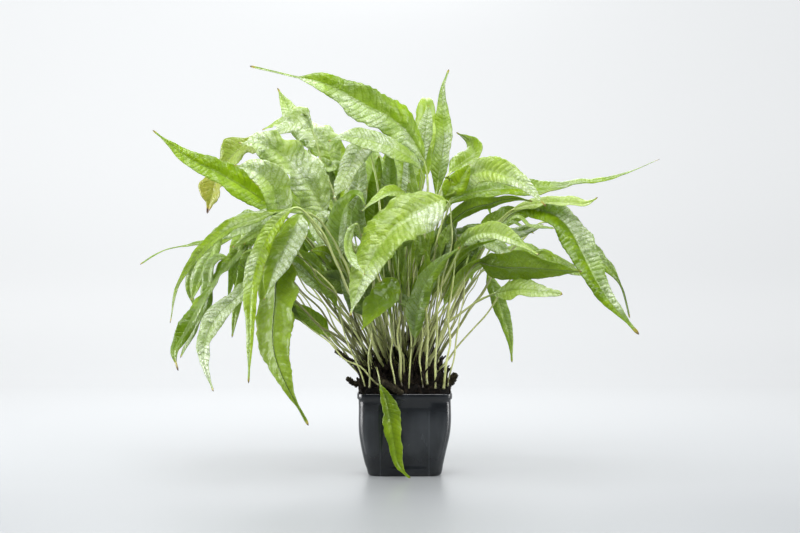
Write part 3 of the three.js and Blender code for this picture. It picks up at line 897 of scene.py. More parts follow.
LEAF_FINISHES = {
    Look.FRESH: LeafFinish(
        "fresh_blade", lit=(0.31, 0.45, 0.006), shade=(0.11, 0.19, 0.003),
        underside=(0.2, 0.3, 0.014), glow=(0.56, 0.76, 0.006),
    ),
    Look.PALE: LeafFinish(
        "pale_blade", lit=(0.37, 0.5, 0.045), shade=(0.15, 0.25, 0.01),
        underside=(0.27, 0.38, 0.05), glow=(0.58, 0.75, 0.03), gloss_and_painted_sheen=(0.79, 0.86, 0.68), gloss=0.28,
    ),
    Look.DEEP: LeafFinish(
        "deep_blade", lit=(0.22, 0.34, 0.006), shade=(0.05, 0.09, 0.003),
        underside=(0.24, 0.37, 0.01), glow=(0.42, 0.6, 0.004), gloss_and_painted_sheen=(0.54, 0.64, 0.4), through=0.36,
    ),
    Look.YELLOW: LeafFinish(
        "yellow_blade", lit=(0.37, 0.5, 0.1), shade=(0.19, 0.24, 0.012),
        underside=(0.3, 0.39, 0.06), glow=(0.52, 0.66, 0.08), gloss_and_painted_sheen=(0.6, 0.7, 0.42),
    ),
}


# Fronds

# Gloss and painted sheen of a blade's two halves: much, and little.
PALE = (0.8, 0.8)
DIM = (0.1, 0.1)
FOOT_SHARE = 0.2
FOOT_HEIGHT = 88.0
FROND_SEED = 100
YOUNG_SEED = 400
STEM_SEED = 40


@dataclass(frozen=True)
class Habit:
    """How a blade departs from a plain one.

    quilt: height of the bulges between side veins. slant: how far the side veins lean to the
    tip. ruffle: height of the margin's waves as a share of the half-width. wave: length of a
    wave. fold: how far the halves rise from the midrib, as a share of the half-width. crown: how
    far each half swells, likewise. crumple: height of the broad dents. twist: degrees that the
    blade rolls to and fro. ragged: unevenness of the outline. tip: share of the blade at the tip
    that is brown. aged: how yellow the blade's far half is. gloss_and_painted_sheen: how glossy each
    half is and how much painted silvery sheen it shows, first the half on the blade's own left.
    tone: lighter or darker than its look. pucker: height of the fine wrinkles. blunt: half of the
    tip's width. rib: how pale the midrib is. slim: how much narrower the far half is than its solid.
    """

    quilt: float = 0.5 * MM
    slant: float = 0.45
    ruffle: float = 0.2
    wave: float = 24 * MM
    fold: float = 0.16
    crown: float = 0.12
    crumple: float = 3.6 * MM
    twist: float = 13.0
    ragged: float = 0.1
    tip: float = 0.02
    aged: float = 0.0
    gloss_and_painted_sheen: Pair = (0.05, 0.3)
    tone: float | None = None
    pucker: float = 0.6 * MM
    blunt: float = 1.1 * MM
    rib: float = 0.6
    slim: float = 0.0


HABITS = {
    "left_crumpled": Habit(
        quilt=1.3 * MM, ruffle=0.4, wave=17 * MM, crumple=7 * MM, ragged=0.16, gloss_and_painted_sheen=(1, 1), tone=0.4,
        pucker=2.4 * MM,
    ),
    "left_crest": Habit(
        quilt=1.2 * MM, ruffle=0.5, wave=14 * MM, crumple=8 * MM, ragged=0.2, gloss_and_painted_sheen=(1, 1), tone=0.4,
        pucker=2.5 * MM,
    ),
    "left_curled": Habit(ruffle=0.25, wave=26 * MM, fold=0.3, gloss_and_painted_sheen=(1.0, 1.0), tone=0.8),
    "left_yellow": Habit(
        quilt=0.4 * MM, ruffle=0.3, wave=18 * MM, ragged=0.3, tip=0.03, aged=0.32, blunt=4 * MM, tone=-0.5,
        rib=0.1,
    ),
    "left_large": Habit(
        quilt=0.6 * MM, ruffle=0.16, wave=30 * MM, ragged=0.16, gloss_and_painted_sheen=(-1, -1), tone=-0.6, blunt=1.6 * MM,
        rib=0.0,
    ),
    "left_peak": Habit(ruffle=0.3, ragged=0.12, tip=0.05, gloss_and_painted_sheen=PALE),
    "left_spear": Habit(quilt=0.4 * MM, ruffle=0.12, wave=34 * MM, gloss_and_painted_sheen=(0.0, 0.1), tone=0.5, rib=0.2),
    "left_arch": Habit(quilt=0.3 * MM, ruffle=0.08, wave=40 * MM, gloss_and_painted_sheen=(0.0, 0.1), tone=0.7, rib=0.3),
    "left_bright": Habit(quilt=0.7 * MM, ruffle=0.14, wave=26 * MM, gloss_and_painted_sheen=(0.85, 0.0), tone=0.8),
    "left_winding": Habit(ruffle=0.25, wave=20 * MM, ragged=0.14, twist=24, tip=0.05),
    "left_level": Habit(ruffle=0.3, wave=18 * MM, ragged=0.14, gloss_and_painted_sheen=(0.8, 0.8)),
    "left_pale_hanging": Habit(ruffle=0.25, wave=20 * MM, ragged=0.1, gloss_and_painted_sheen=(1.0, 1.0), rib=0.0),
    "left_two_tone": Habit(gloss_and_painted_sheen=(-0.2, 1.0), tone=-0.2),
    "right_pleated": Habit(
        quilt=1.7 * MM, ruffle=0.22, wave=20 * MM, ragged=0.14, tip=0.05, gloss_and_painted_sheen=(0.9, 0.9), tone=0.6,
        pucker=0.9 * MM,
    ),
    "right_droop": Habit(
        quilt=1.4 * MM, slant=0.1, ruffle=0.15, wave=26 * MM, gloss_and_painted_sheen=(-0.4, 1.0), tip=0.03, blunt=1.8 * MM,
        tone=-0.5,
    ),
    "right_small": Habit(
        ruffle=0.12, wave=16 * MM, ragged=0.22, tip=0.02, gloss_and_painted_sheen=(0.7, 0.7), tone=0.3, blunt=5 * MM, rib=0
    ),
    "right_light": Habit(quilt=0.3 * MM, ruffle=0.2, ragged=0.14, gloss_and_painted_sheen=(0.2, 0.1), tone=0.9, rib=0.3),
    "right_mid_arch": Habit(quilt=1.2 * MM, gloss_and_painted_sheen=(0.7, 0.2), tone=0.2),
    "right_dark_arch": Habit(quilt=0.3 * MM, ruffle=0.1, wave=30 * MM, gloss_and_painted_sheen=(0, 0), tone=0.2, rib=0.1),
    "right_low_olive": Habit(quilt=0.4 * MM, ruffle=0.14, wave=30 * MM, tone=1.4, rib=0.2),
    "right_long": Habit(
        quilt=0.3 * MM, ruffle=0.08, wave=40 * MM, gloss_and_painted_sheen=(0.0, 0.2), tone=-0.3, rib=0.3, slim=0.25
    ),
    "middle_large": Habit(
        quilt=1.1 * MM, slant=0.55, ruffle=0.16, wave=30 * MM, gloss_and_painted_sheen=(0.2, 1.0), tone=0.3, pucker=1.1 * MM,
        ragged=0.14,
    ),
    "middle_rolled": Habit(fold=0.4, ruffle=0.2, gloss_and_painted_sheen=(0.9, 0.2)),
    "middle_low": Habit(gloss_and_painted_sheen=(-0.5, -0.3), tone=-0.7, ragged=0.2, rib=0.1),
    "middle_curl": Habit(gloss_and_painted_sheen=PALE),
    "upright_pale": Habit(quilt=0.6 * MM, gloss_and_painted_sheen=(1.0, 1.0), tone=0.6),
    "upright_light": Habit(gloss_and_painted_sheen=(0.9, 0.6)),
    "upper_level": Habit(ruffle=0.24, gloss_and_painted_sheen=(0.9, 0.7), pucker=1.0 * MM),
    "top_arch": Habit(quilt=0.8 * MM, ruffle=0.12, wave=34 * MM, gloss_and_painted_sheen=(0.1, 0.8), tone=0.0),
    "top_spire": Habit(gloss_and_painted_sheen=(0.9, 0.3), ragged=0.14),
    "top_folded": Habit(ruffle=0.3, ragged=0.2, tip=0.04, tone=1.2),
    "top_back": Habit(gloss_and_painted_sheen=(-0.8, -0.8), tone=0.3, blunt=3 * MM, rib=0.5, twist=4, crumple=1.5 * MM),
    "over_the_rim": Habit(
        quilt=0.1 * MM, ruffle=0.24, wave=15 * MM, ragged=0.34, crumple=2.6 * MM, gloss_and_painted_sheen=(-0.9, -0.9), tone=0.1,
        tip=0.01, rib=0.0, slim=0.5, pucker=0.3 * MM,
    ),
}


@dataclass
class Frond:
    """One frond: a round stalk that runs on as the midrib of a quilted blade.

    sways, rolls, veins_sway, lobes, nicks, swells and sheens: lengths over which each of them
    changes, sheens being the gloss with its painted sheen. vein_spacing: least and greatest
    distance between side veins. full_width: half of the width from which the relief is at full
    height. warp_scale, dent_scale: cells a metre.
    """

    name: str
    spine: Spine
    habit: Habit
    seed: int
    blade_step: float = 1.35 * MM
    stalk_step: float = 3.2 * MM
    columns: int = 18
    thickness: float = 0.32 * MM
    foot_radius: float = 1.15 * MM
    neck_radius: float = 0.85 * MM
    tip_radius: float = 0.16 * MM
    stalk_sides: int = 8
    rooted: float = 8 * MM
    sway: float = 3.2 * MM
    sways: float = 22 * MM
    rolls: float = 28 * MM
    veins_sway: float = 14 * MM
    lobes: float = 13 * MM
    nicks: float = 4 * MM
    swells: float = 18 * MM
    sheens: float = 24 * MM
    vein_spacing: Pair = (4.6 * MM, 6.8 * MM)
    full_width: float = 8 * MM
    warp_scale: float = 70.0
    dent_scale: float = 34.0
    blade_rows: tuple[int, int] = (24, 170)
    stalk_rows: tuple[int, int] = (24, 110)

    def __post_init__(self) -> None:
        """Seeds the frond's own random numbers and sets its tone."""
        self.rng = np.random.default_rng(self.seed)
        self.stoutness = float(self.rng.uniform(0.75, 1.3))
        drawn = float(self.rng.uniform(-0.9, 0.7))
        self.tone = drawn if self.habit.tone is None else self.habit.tone
        self.runs = self.spine.runs
        self.neck_run = float(self.runs[self.spine.neck])

    def _layers(self, shape: bmesh.types.BMesh) -> dict[str, object]:
        """The mesh's layers of numbers for the material, made where they are missing.

        Args:
            shape: The mesh.

        Returns:
            Its layers by name.
        """
        names = ("run", "reach", "vein", "wither", "part", "growth", "tone", "gloss_and_painted_sheen", "rib")
        floats = shape.verts.layers.float
        return {name: floats.get(name) or floats.new(name) for name in names}

    def _frame(self, at: np.ndarray) -> tuple[np.ndarray, np.ndarray, np.ndarray]:
        """Centres, across and facing directions at runs along the spine.

        Args:
            at: Distances from the foot.

        Returns:
            Centres, across and facing, a row for each.
        """
        centres = smooth_through(self.runs, self.spine.centres, at)
        ahead = smooth_through(self.runs, self.spine.centres, np.minimum(at + MM, self.runs[-1]))
        behind = smooth_through(self.runs, self.spine.centres, np.maximum(at - MM, 0))
        tangent = unit(ahead - behind)
        facing = smooth_through(self.runs, self.spine.facing, at)
        facing = unit(facing - tangent * np.sum(facing * tangent, axis=1, keepdims=True))
        return centres, np.cross(facing, tangent), facing

    def _half_widths(self, at: np.ndarray) -> np.ndarray:
        """Half of the blade's width at runs along the spine.

        Args:
            at: Distances from the foot.

        Returns:
            Half of the width at each.
        """
        first = self.spine.neck
        knots = self.runs[first:]
        widths = self.spine.half_widths[first:].copy()
        widths[0] = min(widths[0], self.neck_radius)
        plain = np.maximum(smooth_through(knots, widths, at), 0)
        to_tip = np.clip((self.runs[-1] - at) / (2.2 * self.habit.blunt), 0, 1)
        to_neck = np.clip((at - self.neck_run) / (self.runs[-1] - self.neck_run), 0, 1)
        plain = plain * (1 - self.habit.slim * np.clip(to_neck * 2.5 - 0.9, 0, 1))
        return np.maximum(plain * np.sqrt(to_tip), self.habit.blunt * np.sqrt(to_tip) * (to_neck > 0.5))

    def _wither(self, along: np.ndarray, side: np.ndarray) -> np.ndarray:
        """How withered the blade is: most at the tip, then in spots along the margins.

        Args:
            along: Shares of the blade's length.
            side: Where across it, from -1 to 1.

        Returns:
            0 where it is fresh to 1 where it is brown.
        """
        tip = np.clip((along - 1 + 2 * self.habit.tip) / max(2 * self.habit.tip, 1e-6), 0, 1)
        margin = wander(along * 9 + side, 0.7, self.rng)
        spots = np.clip(margin - 0.72, 0, 1) * np.abs(side) ** 6 * 1.6
        far_half = np.clip((along - 0.4) * 2.5, 0, 1)
        return np.clip(tip * 0.9 + spots + self.habit.aged * far_half, 0, 1)

    def add_blade(self, shape: bmesh.types.BMesh) -> None:
        """Adds the blade as a thin closed shell.

        Args:
            shape: The mesh to add to.
        """
        habit = self.habit
        length = self.runs[-1] - self.neck_run
        rows = int(np.clip(round(length / self.blade_step), *self.blade_rows))
        vertices, row, column = grid_places(shape, rows, self.columns)
        spread = np.arange(rows + 1) / rows
        at = self.neck_run + length * spread
        centres, across, facing = self._frame(at)
        roll = np.radians(habit.twist) * wander(at, self.rolls, self.rng)[:, None]
        level = across
        across = level * np.cos(roll) + facing * np.sin(roll)
        facing = facing * np.cos(roll) - level * np.sin(roll)
        half = self._half_widths(at)
        sway = [wander(at, self.veins_sway, self.rng) for _ in (0, 1)]
        side = column / (self.columns / 2) - 1
        size = np.abs(side)
        to_left = side < 0
        edges = []
        for _ in (0, 1):
            lobes = 0.8 * wander(at, self.lobes, self.rng)
            nicks = 0.35 * wander(at, self.nicks, self.rng)
            edges.append(1 + habit.ragged * (lobes + nicks))
        waves = [wander(at, habit.wave / 2, self.rng) for _ in (0, 1)]

        def each_half(pair: list) -> np.ndarray:
            """Each vertex's number, from the line of its own half."""
            return np.where(to_left, pair[0][row], pair[1][row])

        plain_reach = side * half[row]
        spacing = float(np.clip(half.max() * 0.38, *self.vein_spacing))
        along = at[row] - self.neck_run
        flat = np.column_stack([along, plain_reach, np.full(len(along), self.seed)])
        flat = flat * (self.warp_scale, self.warp_scale, 1)
        warp = np.array([noise.noise(Vector(point)) for point in flat.tolist()])
        lean = habit.slant * np.abs(plain_reach) * (1 + 0.5 * size)
        vein = (along - lean) / spacing + np.where(to_left, 0.5, 0) + 0.45 * each_half(sway) + 0.5 * warp
        bulge = -0.5 * np.cos(2 * math.pi * vein)
        reach = plain_reach * (1 + (each_half(edges) - 1 + 0.03 * bulge) * size**2)
        fullness = np.clip(half[row] / self.full_width, 0, 1)
        swelling = np.clip(0.75 + 0.7 * wander(at, self.swells, self.rng), 0.1, 1.5)[row]
        lift = habit.quilt * swelling * bulge * np.clip(size * 4, 0, 1) * (1 - 0.6 * size**3) * fullness
        ruffle = habit.ruffle * half[row] * size**2.4 * each_half(waves)
        fold = habit.fold * np.sqrt(reach**2 + (0.6 * MM) ** 2)
        crown = habit.crown * half[row] * np.sin(math.pi * size)
        points = centres[row] + across[row] * reach[:, None]
        here = [Vector(point) for point in (points * self.dent_scale + self.seed).tolist()]
        dents = np.array([noise.noise(point) + 0.35 * noise.noise(point * 2.7) for point in here])
        puckers = np.array([noise.noise(point * 4.3) for point in here])
        height = lift + ruffle + fold + crown + habit.crumple * dents * size * fullness
        height = height + habit.pucker * puckers * np.clip(size * 3, 0, 1) * fullness
        place(vertices, points + facing[row] * height[:, None])

        layers = self._layers(shape)
        # gloss and painted sheen of each half, uneven along the blade
        evenness = np.clip(1.0 + 0.9 * wander(at, self.sheens, self.rng), 0.1, 1.1)
        gloss_and_painted_sheen = np.where(to_left, *habit.gloss_and_painted_sheen) * evenness[row]
        values = {
            "run": along, "reach": reach, "vein": vein, "wither": self._wither(spread[row], side),
            "part": np.full(len(row), Part.UPPER_SIDE.value), "growth": 0.5 + 0.5 * spread[row],
            "tone": np.full(len(row), self.tone), "gloss_and_painted_sheen": gloss_and_painted_sheen, "rib": np.full(len(row), self.habit.rib),
        }
        for name, numbers in values.items():
            for vertex, number in zip(vertices, numbers.tolist()):
                vertex[layers[name]] = number
        faces = list({face for vertex in vertices for face in vertex.link_faces})
        doubles = bmesh.ops.find_doubles(shape, verts=vertices, dist=0.004 * MM)["targetmap"]
        bmesh.ops.weld_verts(shape, targetmap=doubles)
        faces = [face for face in faces if face.is_valid]
        before = set(shape.verts)
        bmesh.ops.solidify(shape, geom=faces, thickness=self.thickness)
        for vertex in shape.verts:
            if vertex not in before:
                vertex[layers["part"]] = Part.UNDERSIDE.value

    def add_stalk(self, shape: bmesh.types.BMesh) -> None:
        """Adds the stalk, which runs on under the blade as its midrib.

        Args:
            shape: The mesh to add to.
        """
        total = self.runs[-1]
        count = int(np.clip(round(total / self.stalk_step), *self.stalk_rows))
        at = np.linspace(0, total * 0.985, count)
        centres, _, facing = self._frame(at)
        in_blade = np.clip((at - self.neck_run) / (total - self.neck_run), 0, 1)
        radii = np.where(
            at < self.neck_run,
            self.foot_radius + (self.neck_radius - self.foot_radius) * at / self.neck_run,
            self.neck_radius + (self.tip_radius - self.neck_radius) * in_blade**0.5,
        )
        uneven = 1 + 0.14 * wander(at, 8 * MM, self.rng)
        radii = radii * uneven * (1 + (self.stoutness - 1) * (1 - in_blade))
        under = np.clip(in_blade * 12, 0, 1) * (radii * 0.55 + self.thickness / 2)
        loose = self.sway * np.sin(math.pi * np.clip(at / self.neck_run, 0, 1))
        swung = np.column_stack([wander(at, self.sways, self.rng) for _ in range(3)]) * loose[:, None]
        points = centres - facing * under[:, None] + swung
        down = unit(points[0] - points[1])
        roots = [points[0] + down * self.rooted * share for share in (1.0, 0.66, 0.33)]
        points = np.vstack([roots, points])
        radii = np.concatenate([np.array([1.5, 1.3, 1.12]) * radii[0], radii])
        risen = np.minimum(at / self.neck_run, 1)
        growth = np.concatenate([[-0.05, -0.03, -0.01], 0.5 * risen + 0.5 * in_blade])
        run = np.concatenate([[0, 0, 0], at])
        vertices, rows = add_tube(shape, points, radii, self.stalk_sides, ripple=0.05)
        layers = self._layers(shape)
        wither = np.clip((growth - 1 + self.habit.tip) / max(self.habit.tip, 1e-6), 0, 1) * 0.9
        for vertex, index in zip(vertices, rows.tolist()):
            vertex[layers["run"]] = float(run[index])
            vertex[layers["wither"]] = float(wither[index])
            vertex[layers["part"]] = Part.RIB.value
            vertex[layers["growth"]] = float(growth[index])
            vertex[layers["tone"]] = self.tone
            vertex[layers["rib"]] = self.habit.rib
            vertex[layers["gloss_and_painted_sheen"]] = 0.5

    def add_to(self, shape: bmesh.types.BMesh) -> None:
        """Adds the whole frond to a mesh.

        Args:
            shape: The mesh to add to.
        """
        self._layers(shape)
        self.add_blade(shape)
        self.add_stalk(shape)

    def build(self, material: bpy.types.Material) -> bpy.types.Object:
        """Builds the frond as one piece.

        Args:
            material: The finish of its look.

        Returns:
            The new piece.
        """
        shape = bmesh.new()
        self.add_to(shape)
        return finished(shape, self.name, material)


@dataclass(frozen=True)
class Sprout:
    """A small frond with a place of its own among the grown ones, in millimetres.

    neck, middle, tip: where its blade starts, bends and ends. half_width: half of the blade's
    width. facing: the way that its upper side looks. look: its finish. gloss_and_painted_sheen,
    tone: as for a Habit.
    foot: where its stalk rises from, if that isn't near the middle of the root mass.
    """

    neck: Place
    middle: Place
    tip: Place
    half_width: float
    facing: Place
    look: Look = Look.FRESH
    gloss_and_painted_sheen: Pair = (0.3, 0.3)
    tone: float | None = None
    foot: Place | None = None

    def spine(self) -> Spine:
        """Its spine, from a foot in the root mass.

        Returns:
            The spine in metres.
        """
        foot = self.foot or (self.neck[0] * FOOT_SHARE, self.neck[1] * FOOT_SHARE, FOOT_HEIGHT)
        places = np.array([foot, self.neck, self.middle, self.tip]) * MM
        return Spine.through(places, np.array(self.facing), self.half_width * MM)


def shade_filler(
    neck: Place, middle: Place, tip: Place, half_width: float, facing: Place, gloss_and_painted_sheen: Pair = DIM
) -> Sprout:
    """A young frond painted dark as painted shade, to close a gap deep in the crown."""
    return Sprout(neck, middle, tip, half_width, facing, Look.DEEP, gloss_and_painted_sheen, tone=-1.0)


def front_stalk(neck: Place, middle: Place, tip: Place, tone: float, foot: Place) -> Sprout:
    """A narrow young frond whose stalk stands in front of the others."""
    return Sprout(neck, middle, tip, 5.0, (0.1, -0.95, 0.3), Look.DEEP, DIM, tone, foot)


SPROUTS = (
    Sprout((-70, -22, 168), (-92, -26, 189), (-112, -28, 205), 6.5, (-0.3, -0.9, 0.5), Look.PALE, (0.9, 0.9)),
    Sprout((-60, -30, 236), (-84, -38, 236), (-69, -42, 202), 6.0, (0.5, -0.8, 0.3), Look.PALE, (0.9, 0.9)),
    Sprout((-138, -20, 236), (-158, -24, 220), (-168, -26, 168), 7.0, (-0.3, -0.9, 0.3)),
    Sprout((-136, -10, 208), (-156, -16, 182), (-165, -20, 131), 6.5, (-0.2, -0.9, 0.3)),
    Sprout((-160, -14, 226), (-187, -18, 208), (-204, -20, 166), 8.0, (-0.3, -0.9, 0.4), gloss_and_painted_sheen=(0.6, 0.3)),
    Sprout((-144, 4, 226), (-152, 2, 212), (-156, 0, 188), 5.0, (-0.2, -0.9, 0.2), Look.DEEP),
    Sprout((-166, -24, 206), (-191, -28, 160), (-213, -30, 112), 8.0, (-0.4, -0.8, 0.3)),
    Sprout((-36, 6, 214), (-45, 2, 240), (-42, 0, 270), 7.5, (0.2, -0.9, 0.3)),
    Sprout((-58, 16, 280), (-74, 14, 296), (-84, 12, 306), 6.5, (-0.2, -0.9, 0.4), Look.PALE, (0.8, 0.6)),
    Sprout((16, 26, 290), (20, 27, 330), (24, 27, 358), 8.0, (0.1, -0.95, 0.2), Look.PALE, (0.8, 0.8)),
    shade_filler((24, 10, 206), (40, 12, 232), (54, 14, 260), 9.0, (0.2, -0.9, 0.4)),
    shade_filler((40, 24, 214), (62, 26, 232), (86, 28, 241), 7.5, (0.1, -0.8, 0.6)),
    Sprout((38, -30, 256), (50, -34, 276), (62, -38, 296), 11.0, (-0.3, -0.9, 0.3), gloss_and_painted_sheen=(0.0, 0.0)),
    Sprout((56, -20, 222), (84, -26, 220), (106, -30, 203), 8.0, (0.2, -0.8, 0.6), Look.PALE, (0.8, 0.5)),
    Sprout((84, 10, 216), (112, 12, 232), (136, 14, 240), 7.0, (0.2, -0.8, 0.6), Look.DEEP),
    Sprout((118, -6, 202), (146, -8, 201), (172, -10, 190), 9.0, (0.2, -0.7, 0.7), gloss_and_painted_sheen=(0.5, 0.3)),
    Sprout((96, 6, 236), (124, 6, 238), (146, 6, 236), 2.4, (0.1, -0.9, 0.4), Look.PALE),
    Sprout((10, -36, 150), (-4, -40, 168), (-24, -42, 176), 6.0, (0.2, -0.9, 0.4), Look.DEEP),
    shade_filler((34, -10, 190), (44, -12, 220), (40, -12, 250), 7.5, (0.1, -0.9, 0.3)),
    shade_filler((-52, 0, 200), (-70, -6, 226), (-82, -8, 252), 9.0, (-0.2, -0.9, 0.4)),
    Sprout((2, 14, 220), (8, 14, 250), (4, 12, 282), 8.5, (0.0, -0.95, 0.3)),
    shade_filler((-18, 20, 230), (-20, 20, 262), (-26, 18, 292), 8.5, (-0.1, -0.95, 0.3)),
    Sprout((-40, -30, 172), (-62, -34, 186), (-86, -36, 190), 11.0, (0.1, -0.95, -0.2), Look.DEEP, DIM),
    Sprout((-48, 10, 226), (-47, 8, 272), (-42, 14, 320), 11.0, (-0.1, -0.95, 0.2), Look.PALE, (0.9, 1.0)),
    Sprout((-30, 14, 214), (-29, 12, 262), (-25, 18, 308), 9.5, (0.1, -0.95, 0.1), gloss_and_painted_sheen=(0.0, 0.0)),
    Sprout((-14, 16, 226), (-15, 14, 272), (-14, 20, 318), 9.5, (0.0, -0.95, 0.2), gloss_and_painted_sheen=(0.1, 0.3)),
    Sprout((6, 16, 220), (5, 14, 266), (3, 20, 316), 9.5, (0.1, -0.95, 0.2), Look.PALE, (0.2, 1.0)),
    shade_filler((-66, 18, 226), (-72, 16, 268), (-74, 22, 300), 9.5, (-0.1, -0.95, 0.1)),
    Sprout((-88, -22, 328), (-106, -28, 333), (-128, -30, 322), 10.0, (-0.1, -0.7, 0.7), Look.PALE, (1, 1)),
    shade_filler((-34, -44, 150), (-48, -48, 168), (-60, -50, 190), 8.0, (0.0, -0.95, 0.2), (0.1, 0.3)),
    shade_filler((-12, 20, 180), (-14, 20, 206), (-18, 22, 236), 9.5, (0.0, -0.95, 0.1), (0.0, 0.1)),
    shade_filler((18, 24, 178), (22, 24, 206), (24, 26, 240), 10.0, (0.1, -0.95, 0.1), (0.0, 0.0)),
    shade_filler((46, 10, 186), (60, 10, 206), (74, 8, 226), 8.0, (0.1, -0.95, 0.3), (0.1, 0.0)),
    front_stalk((-30, -32, 200), (-26, -30, 222), (-20, -28, 240), 0.5, (-33, -43.5, 87)),
    front_stalk((-20, -30, 196), (-14, -30, 218), (-6, -28, 238), 0.5, (-9, -43.5, 86)),
    front_stalk((-6, -32, 204), (2, -30, 226), (8, -28, 244), 0.2, (-3, -43.5, 88)),
    front_stalk((4, -30, 210), (10, -28, 232), (18, -26, 250), 0.5, (4, -43.5, 86)),
    front_stalk((12, -31, 196), (16, -30, 216), (14, -28, 236), 0.3, (17, -44, 87)),
    front_stalk((22, -28, 206), (24, -26, 226), (26, -24, 244), 0.5, (21, -43, 90)),
    front_stalk((34, -28, 206), (38, -26, 226), (44, -24, 240), 0.3, (29, -43.5, 86)),
    front_stalk((48, -30, 204), (54, -28, 222), (62, -26, 236), 0.4, (37, -43, 86)),
    front_stalk((60, -26, 206), (66, -24, 222), (76, -22, 232), 0.4, (41, -40, 88)),
    front_stalk((-96, -34, 146), (-110, -36, 160), (-124, -38, 176), 0.4, (-24, -44, 87)),
    front_stalk((-64, -34, 160), (-72, -36, 176), (-84, -38, 190), 0.5, (-38, -42, 88)),
)


@dataclass
class Undergrowth:
    """Small and young fronds that fill the crown between the grown ones.

    lengths: how long a young frond is beside its neighbours. mixes: how near it stands to the
    second of them. least_alike: how alike their headings are, 1 being the same. spread, reach:
    how far its foot strays, and how far from the middle it may stand. highest, farthest: bounds
    of its tip.
    """

    grown: list[Spine]
    sprouts: tuple[Sprout, ...]
    young: int = 50
    lengths: Pair = (0.45, 0.8)
    mixes: Pair = (0.25, 0.75)
    half_widths: Pair = (3.5 * MM, 8 * MM)
    turned: float = 0.45
    spread: float = 8 * MM
    reach: float = 37 * MM
    seed: int = 5
    columns: int = 10
    blade_step: float = 2.2 * MM
    stalk_step: float = 5 * MM
    stalk_sides: int = 6
    foot_radius: float = 0.95 * MM
    neck_radius: float = 0.65 * MM
    rooted: float = 3 * MM
    least_alike: float = 0.75
    foot_height: float = 90 * MM
    highest: float = 235 * MM
    farthest: float = 175 * MM

    def _young_spine(self, rng: np.random.Generator) -> Spine:
        """A spine between two grown neighbours, shorter than both.

        Args:
            rng: The random numbers to draw from.

        Returns:
            The new spine.
        """
        while True:
            chosen = rng.choice(len(self.grown), 2, replace=False)
            one, two = (self.grown[int(index)] for index in chosen)
            shares = np.array([0.0, 0.5, 0.76, 1.0]) * rng.uniform(*self.lengths)
            mix = rng.uniform(*self.mixes)
            first, second = (
                smooth_through(spine.runs / spine.runs[-1], spine.centres, shares) for spine in (one, two)
            )
            close = float(unit(first[1] - first[0]) @ unit(second[1] - second[0])) > self.least_alike
            places = first * (1 - mix) + second * mix
            strewn = places[0, :2] * 1.3 + rng.normal(0, self.spread, 2)
            places[0] = (*np.clip(strewn, -self.reach, self.reach), self.foot_height)
            if close and places[-1][2] < self.highest and abs(places[-1][0]) < self.farthest:
                break
        facing = one.facing[one.neck] * (1 - mix) + two.facing[two.neck] * mix
        facing = facing + rng.normal(0, self.turned, 3)
        return Spine.through(places, facing, rng.uniform(*self.half_widths))

    def build(self, materials: dict[Look, bpy.types.Material]) -> dict[Look, bpy.types.Object]:
        """Builds the fronds, gathered by look.

        Args:
            materials: The finish of each look.

        Returns:
            One piece for each look.
        """
        rng = np.random.default_rng(self.seed)
        planned = []
        for sprout in self.sprouts:
            planned.append((sprout.spine(), sprout.look, Habit(gloss_and_painted_sheen=sprout.gloss_and_painted_sheen, tone=sprout.tone)))
        looks = (Look.FRESH, Look.DEEP, Look.FRESH, Look.PALE)
        for index in range(self.young):
            pale = float(rng.uniform(0, 0.6))
            habit = Habit(gloss_and_painted_sheen=(pale, 0.2), ragged=0.06)
            planned.append((self._young_spine(rng), looks[index % len(looks)], habit))
        shapes = {look: bmesh.new() for look in looks}
        for index, (spine, look, habit) in enumerate(planned):
            frond = Frond(
                "young", spine, habit, seed=YOUNG_SEED + index, columns=self.columns,
                blade_step=self.blade_step, stalk_step=self.stalk_step, stalk_sides=self.stalk_sides,
                foot_radius=self.foot_radius, neck_radius=self.neck_radius, rooted=self.rooted,
            )
            frond.add_to(shapes[look])
        return {
            look: finished(shape, "young_" + look.value.replace("leaf_", ""), materials[look])
            for look, shape in shapes.items()
        }


# Roots and rhizomes


